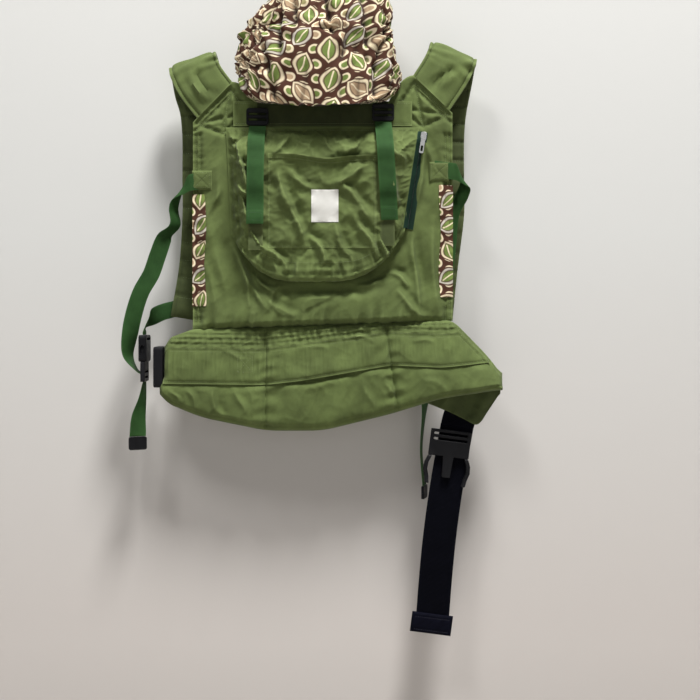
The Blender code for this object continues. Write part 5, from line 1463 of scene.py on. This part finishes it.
# Waist strap: broad navy-black webbing sewn behind the belt's right end. It carries the male half of a
# large side-release buckle and ends in a folded keeper; the female half is sewn to the left end.
WAIST_WIDTH, WAIST_PLY, WAIST_Y, LEAN = 50.0, 1.8, 11.5, 0.1303
KEEPER_HALF, KEEPER_DEEP = 31.0, 30.5
navy_web = woven_look("navy_webbing", (0.0016, 0.0017, 0.0034), (0.0035, 0.0038, 0.007), 170.0, 0.4, 0.03)
keeper_web = woven_look(
    "navy_grey_keeper", (0.003, 0.0032, 0.0072), (0.006, 0.0065, 0.013), 170.0, 0.4, 0.03
)
navy_thread = thread_look("navy_thread", (0.02, 0.02, 0.035))
anchor = [
    (236, WAIST_Y, -478, 1, 0, -0.45), (220, WAIST_Y, -508, 1, 0, -0.4),
    (208, WAIST_Y, -532, 1, 0, -0.25), (203, WAIST_Y, -549.5, 1, 0, -LEAN),
]
anchor, low, _, _ = woven_strap(
    "waist_anchor_web", anchor, WAIST_WIDTH, WAIST_PLY, 50, navy_web, columns=13
)
fit(anchor, "belt_right_end", "navy_webbing", "waist_strap_anchor")
box = [low[3:25, 1], low[3:25, 11], low[3, 1:12], low[24, 1:12]]
box += [np.linspace(low[3, 1], low[24, 11], 9), np.linspace(low[3, 11], low[24, 1], 9)]
stitch_rows("waist_anchor_stitching", box, navy_thread, "belt_right_end", normals=[TO_WALL] * len(box))
stations = []
for share in np.linspace(0, 1, 9):
    x = 203.0 - 37.0 * share - 5.0 * math.sin(math.pi * share)
    z = -549.0 - 284.0 * share + (0.5 if share == 0 else 0)
    stations.append((x, WAIST_Y, z, 1, 0, -LEAN))
strap, _, _, walked = woven_strap("waist_web", stations, WAIST_WIDTH, WAIST_PLY, 150, navy_web, columns=13)
swung = ("belt_right_end", "waist_strap", (0, 0, -0.540), (0, 0, -0.562))
hang(strap, walked, WAIST_WIDTH, swung, "navy_webbing", "waist_strap", "belt_right_section")
dress(plastic_black, "waist_buckle_female", "waist_buckle_male", "waist_prong_left", "waist_prong_right")
down = unit(np.array((-LEAN, 0.0, -1.0)))
over = np.array((-down[2], 0.0, down[0]))
ku, kv = plane(np.linspace(-1, 1, 41), np.linspace(0, 1, 25))
roll = np.sqrt(np.clip((1 - np.abs(ku)) / 0.12, 0.0, 1))
roll = roll * np.sqrt(np.clip(np.minimum(kv, 1 - kv) / 0.16, 0.0, 1))
pressed = 0.9 * bell(kv - 0.2, 0.07) + 0.9 * bell(kv - 0.82, 0.07)
half = (4.0 - pressed + 0.3 * ripples(ku * 31, kv * 30, 281, 90.0, 18.0)) * roll + 0.25
middle = np.array((166.0, WAIST_Y, -833.0)) + over * (ku * KEEPER_HALF)[..., None]
middle = middle + down * (kv * KEEPER_DEEP)[..., None]
face, rear = [middle + np.array(way) * half[..., None] for way in (TO_VIEWER, TO_WALL)]
keeper_cut = np.stack((ku * KEEPER_HALF, kv * KEEPER_DEEP), -1)
keeper = sewn_shell("waist_strap_keeper_fold", face, rear, [keeper_web], 0.6, keeper_cut)
fit(keeper, "waist_strap", "navy_webbing", "waist_strap_keeper")
rows = [face[3:-3, 5], face[3:-3, 20]]
stitch_rows("waist_keeper_stitching", rows, navy_thread, "waist_strap", 3.2, 2.4, 0.4)

# Room: a plain plaster wall close behind the carrier and a pale floor below it, lit by soft lamps above,
# in front and behind. The wall shows only from its front, so that the carrier can be seen from behind.
WALL_Y, FLOOR_Z, FLOOR_FRONT, ROOM_HALF, ROOM_TOP = 75.0, -1250.0, -3500, 3000, 2000
plaster = Look("wall_plaster", (0.72, 0.72, 0.685), 0.9)
place = plaster.place()
height = plaster.add("SeparateXYZ", {0: place}, 2)
# Painted shade: the plaster's colour grows darker towards the floor.
tone = plaster.mix(plaster.ramp(height, -0.85, -0.25), (0.52, 0.485, 0.455), (0.54, 0.537, 0.516))
tone = plaster.mix(plaster.ramp(height, -1.24, -0.9), (0.42, 0.395, 0.37), tone)
plaster.give("Base Color", tone)
plaster.relief(plaster.noise(place, 260.0, 4.0), 0.06, 0.0006)
from_behind = plaster.add("NewGeometry", out="Backfacing")
shadow_ray = plaster.add("LightPath", out="Is Shadow Ray")
let_through = plaster.math("MAXIMUM", from_behind, shadow_ray)
clear = plaster.add("BsdfTransparent")
one_sided = plaster.add("MixShader", {0: let_through, 1: plaster.shader.outputs[0], 2: clear})
plaster.give("Surface", one_sided, plaster.tree.nodes["Material Output"])
left, right = -ROOM_HALF, ROOM_HALF
wall = [(left, WALL_Y, FLOOR_Z), (right, WALL_Y, FLOOR_Z)]
wall += [(right, WALL_Y, ROOM_TOP), (left, WALL_Y, ROOM_TOP)]
floor = [wall[0], (left, FLOOR_FRONT, FLOOR_Z), (right, FLOOR_FRONT, FLOOR_Z), wall[1]]
room = [new_object(name, corners, [(0, 1, 2, 3)]) for name, corners in (("wall", wall), ("floor", floor))]
for piece in room:
    piece.data.materials.append(plaster.material)
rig.stage(*room)

LAMP_AIM = Vector((0.0, 0.0, -0.4))
scene = bpy.context.scene
for name, spot, size, power in (
    ("key_lamp", (0.7, -1.4, 3.2), 0.9, 280.0),
    ("side_lamp", (-1.2, -1.9, 2.6), 0.8, 50.0),
    ("back_lamp", (0.7, 2.6, 1.6), 1.6, 70.0),
    ("fill_lamp", (0.2, -2.8, -0.2), 2.4, 9.0),
):
    lamp = bpy.data.lights.new(name, "AREA")
    lamp.shape = "DISK"
    lamp.size = size
    lamp.energy = power
    holder = bpy.data.objects.new(name, lamp)
    scene.collection.objects.link(holder)
    holder.location = spot
    holder.rotation_euler = (LAMP_AIM - Vector(spot)).to_track_quat("-Z", "Y").to_euler()
world = bpy.data.worlds.new("studio")
world.use_nodes = True
sky = world.node_tree.nodes["Background"].inputs
sky["Color"].default_value = (0.9, 0.93, 1.0, 1.0)
sky["Strength"].default_value = 0.1
scene.world = world

camera = bpy.data.cameras.new("camera")
camera.lens = 36.0 * 1.6 / 1.05
camera.shift_y = -0.05
viewer = bpy.data.objects.new("camera", camera)
scene.collection.objects.link(viewer)
viewer.location = (0.041, -1.6, -0.382)
viewer.rotation_euler = (math.radians(90), 0, 0)
scene.camera = viewer
scene.view_settings.view_transform = "Standard"

with open("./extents.json", "w") as sizes:
    json.dump({"cad": [list(map(float, corner)) for corner in cad_box], "scene": [list(map(float, corner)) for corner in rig.bounds()]}, sizes)
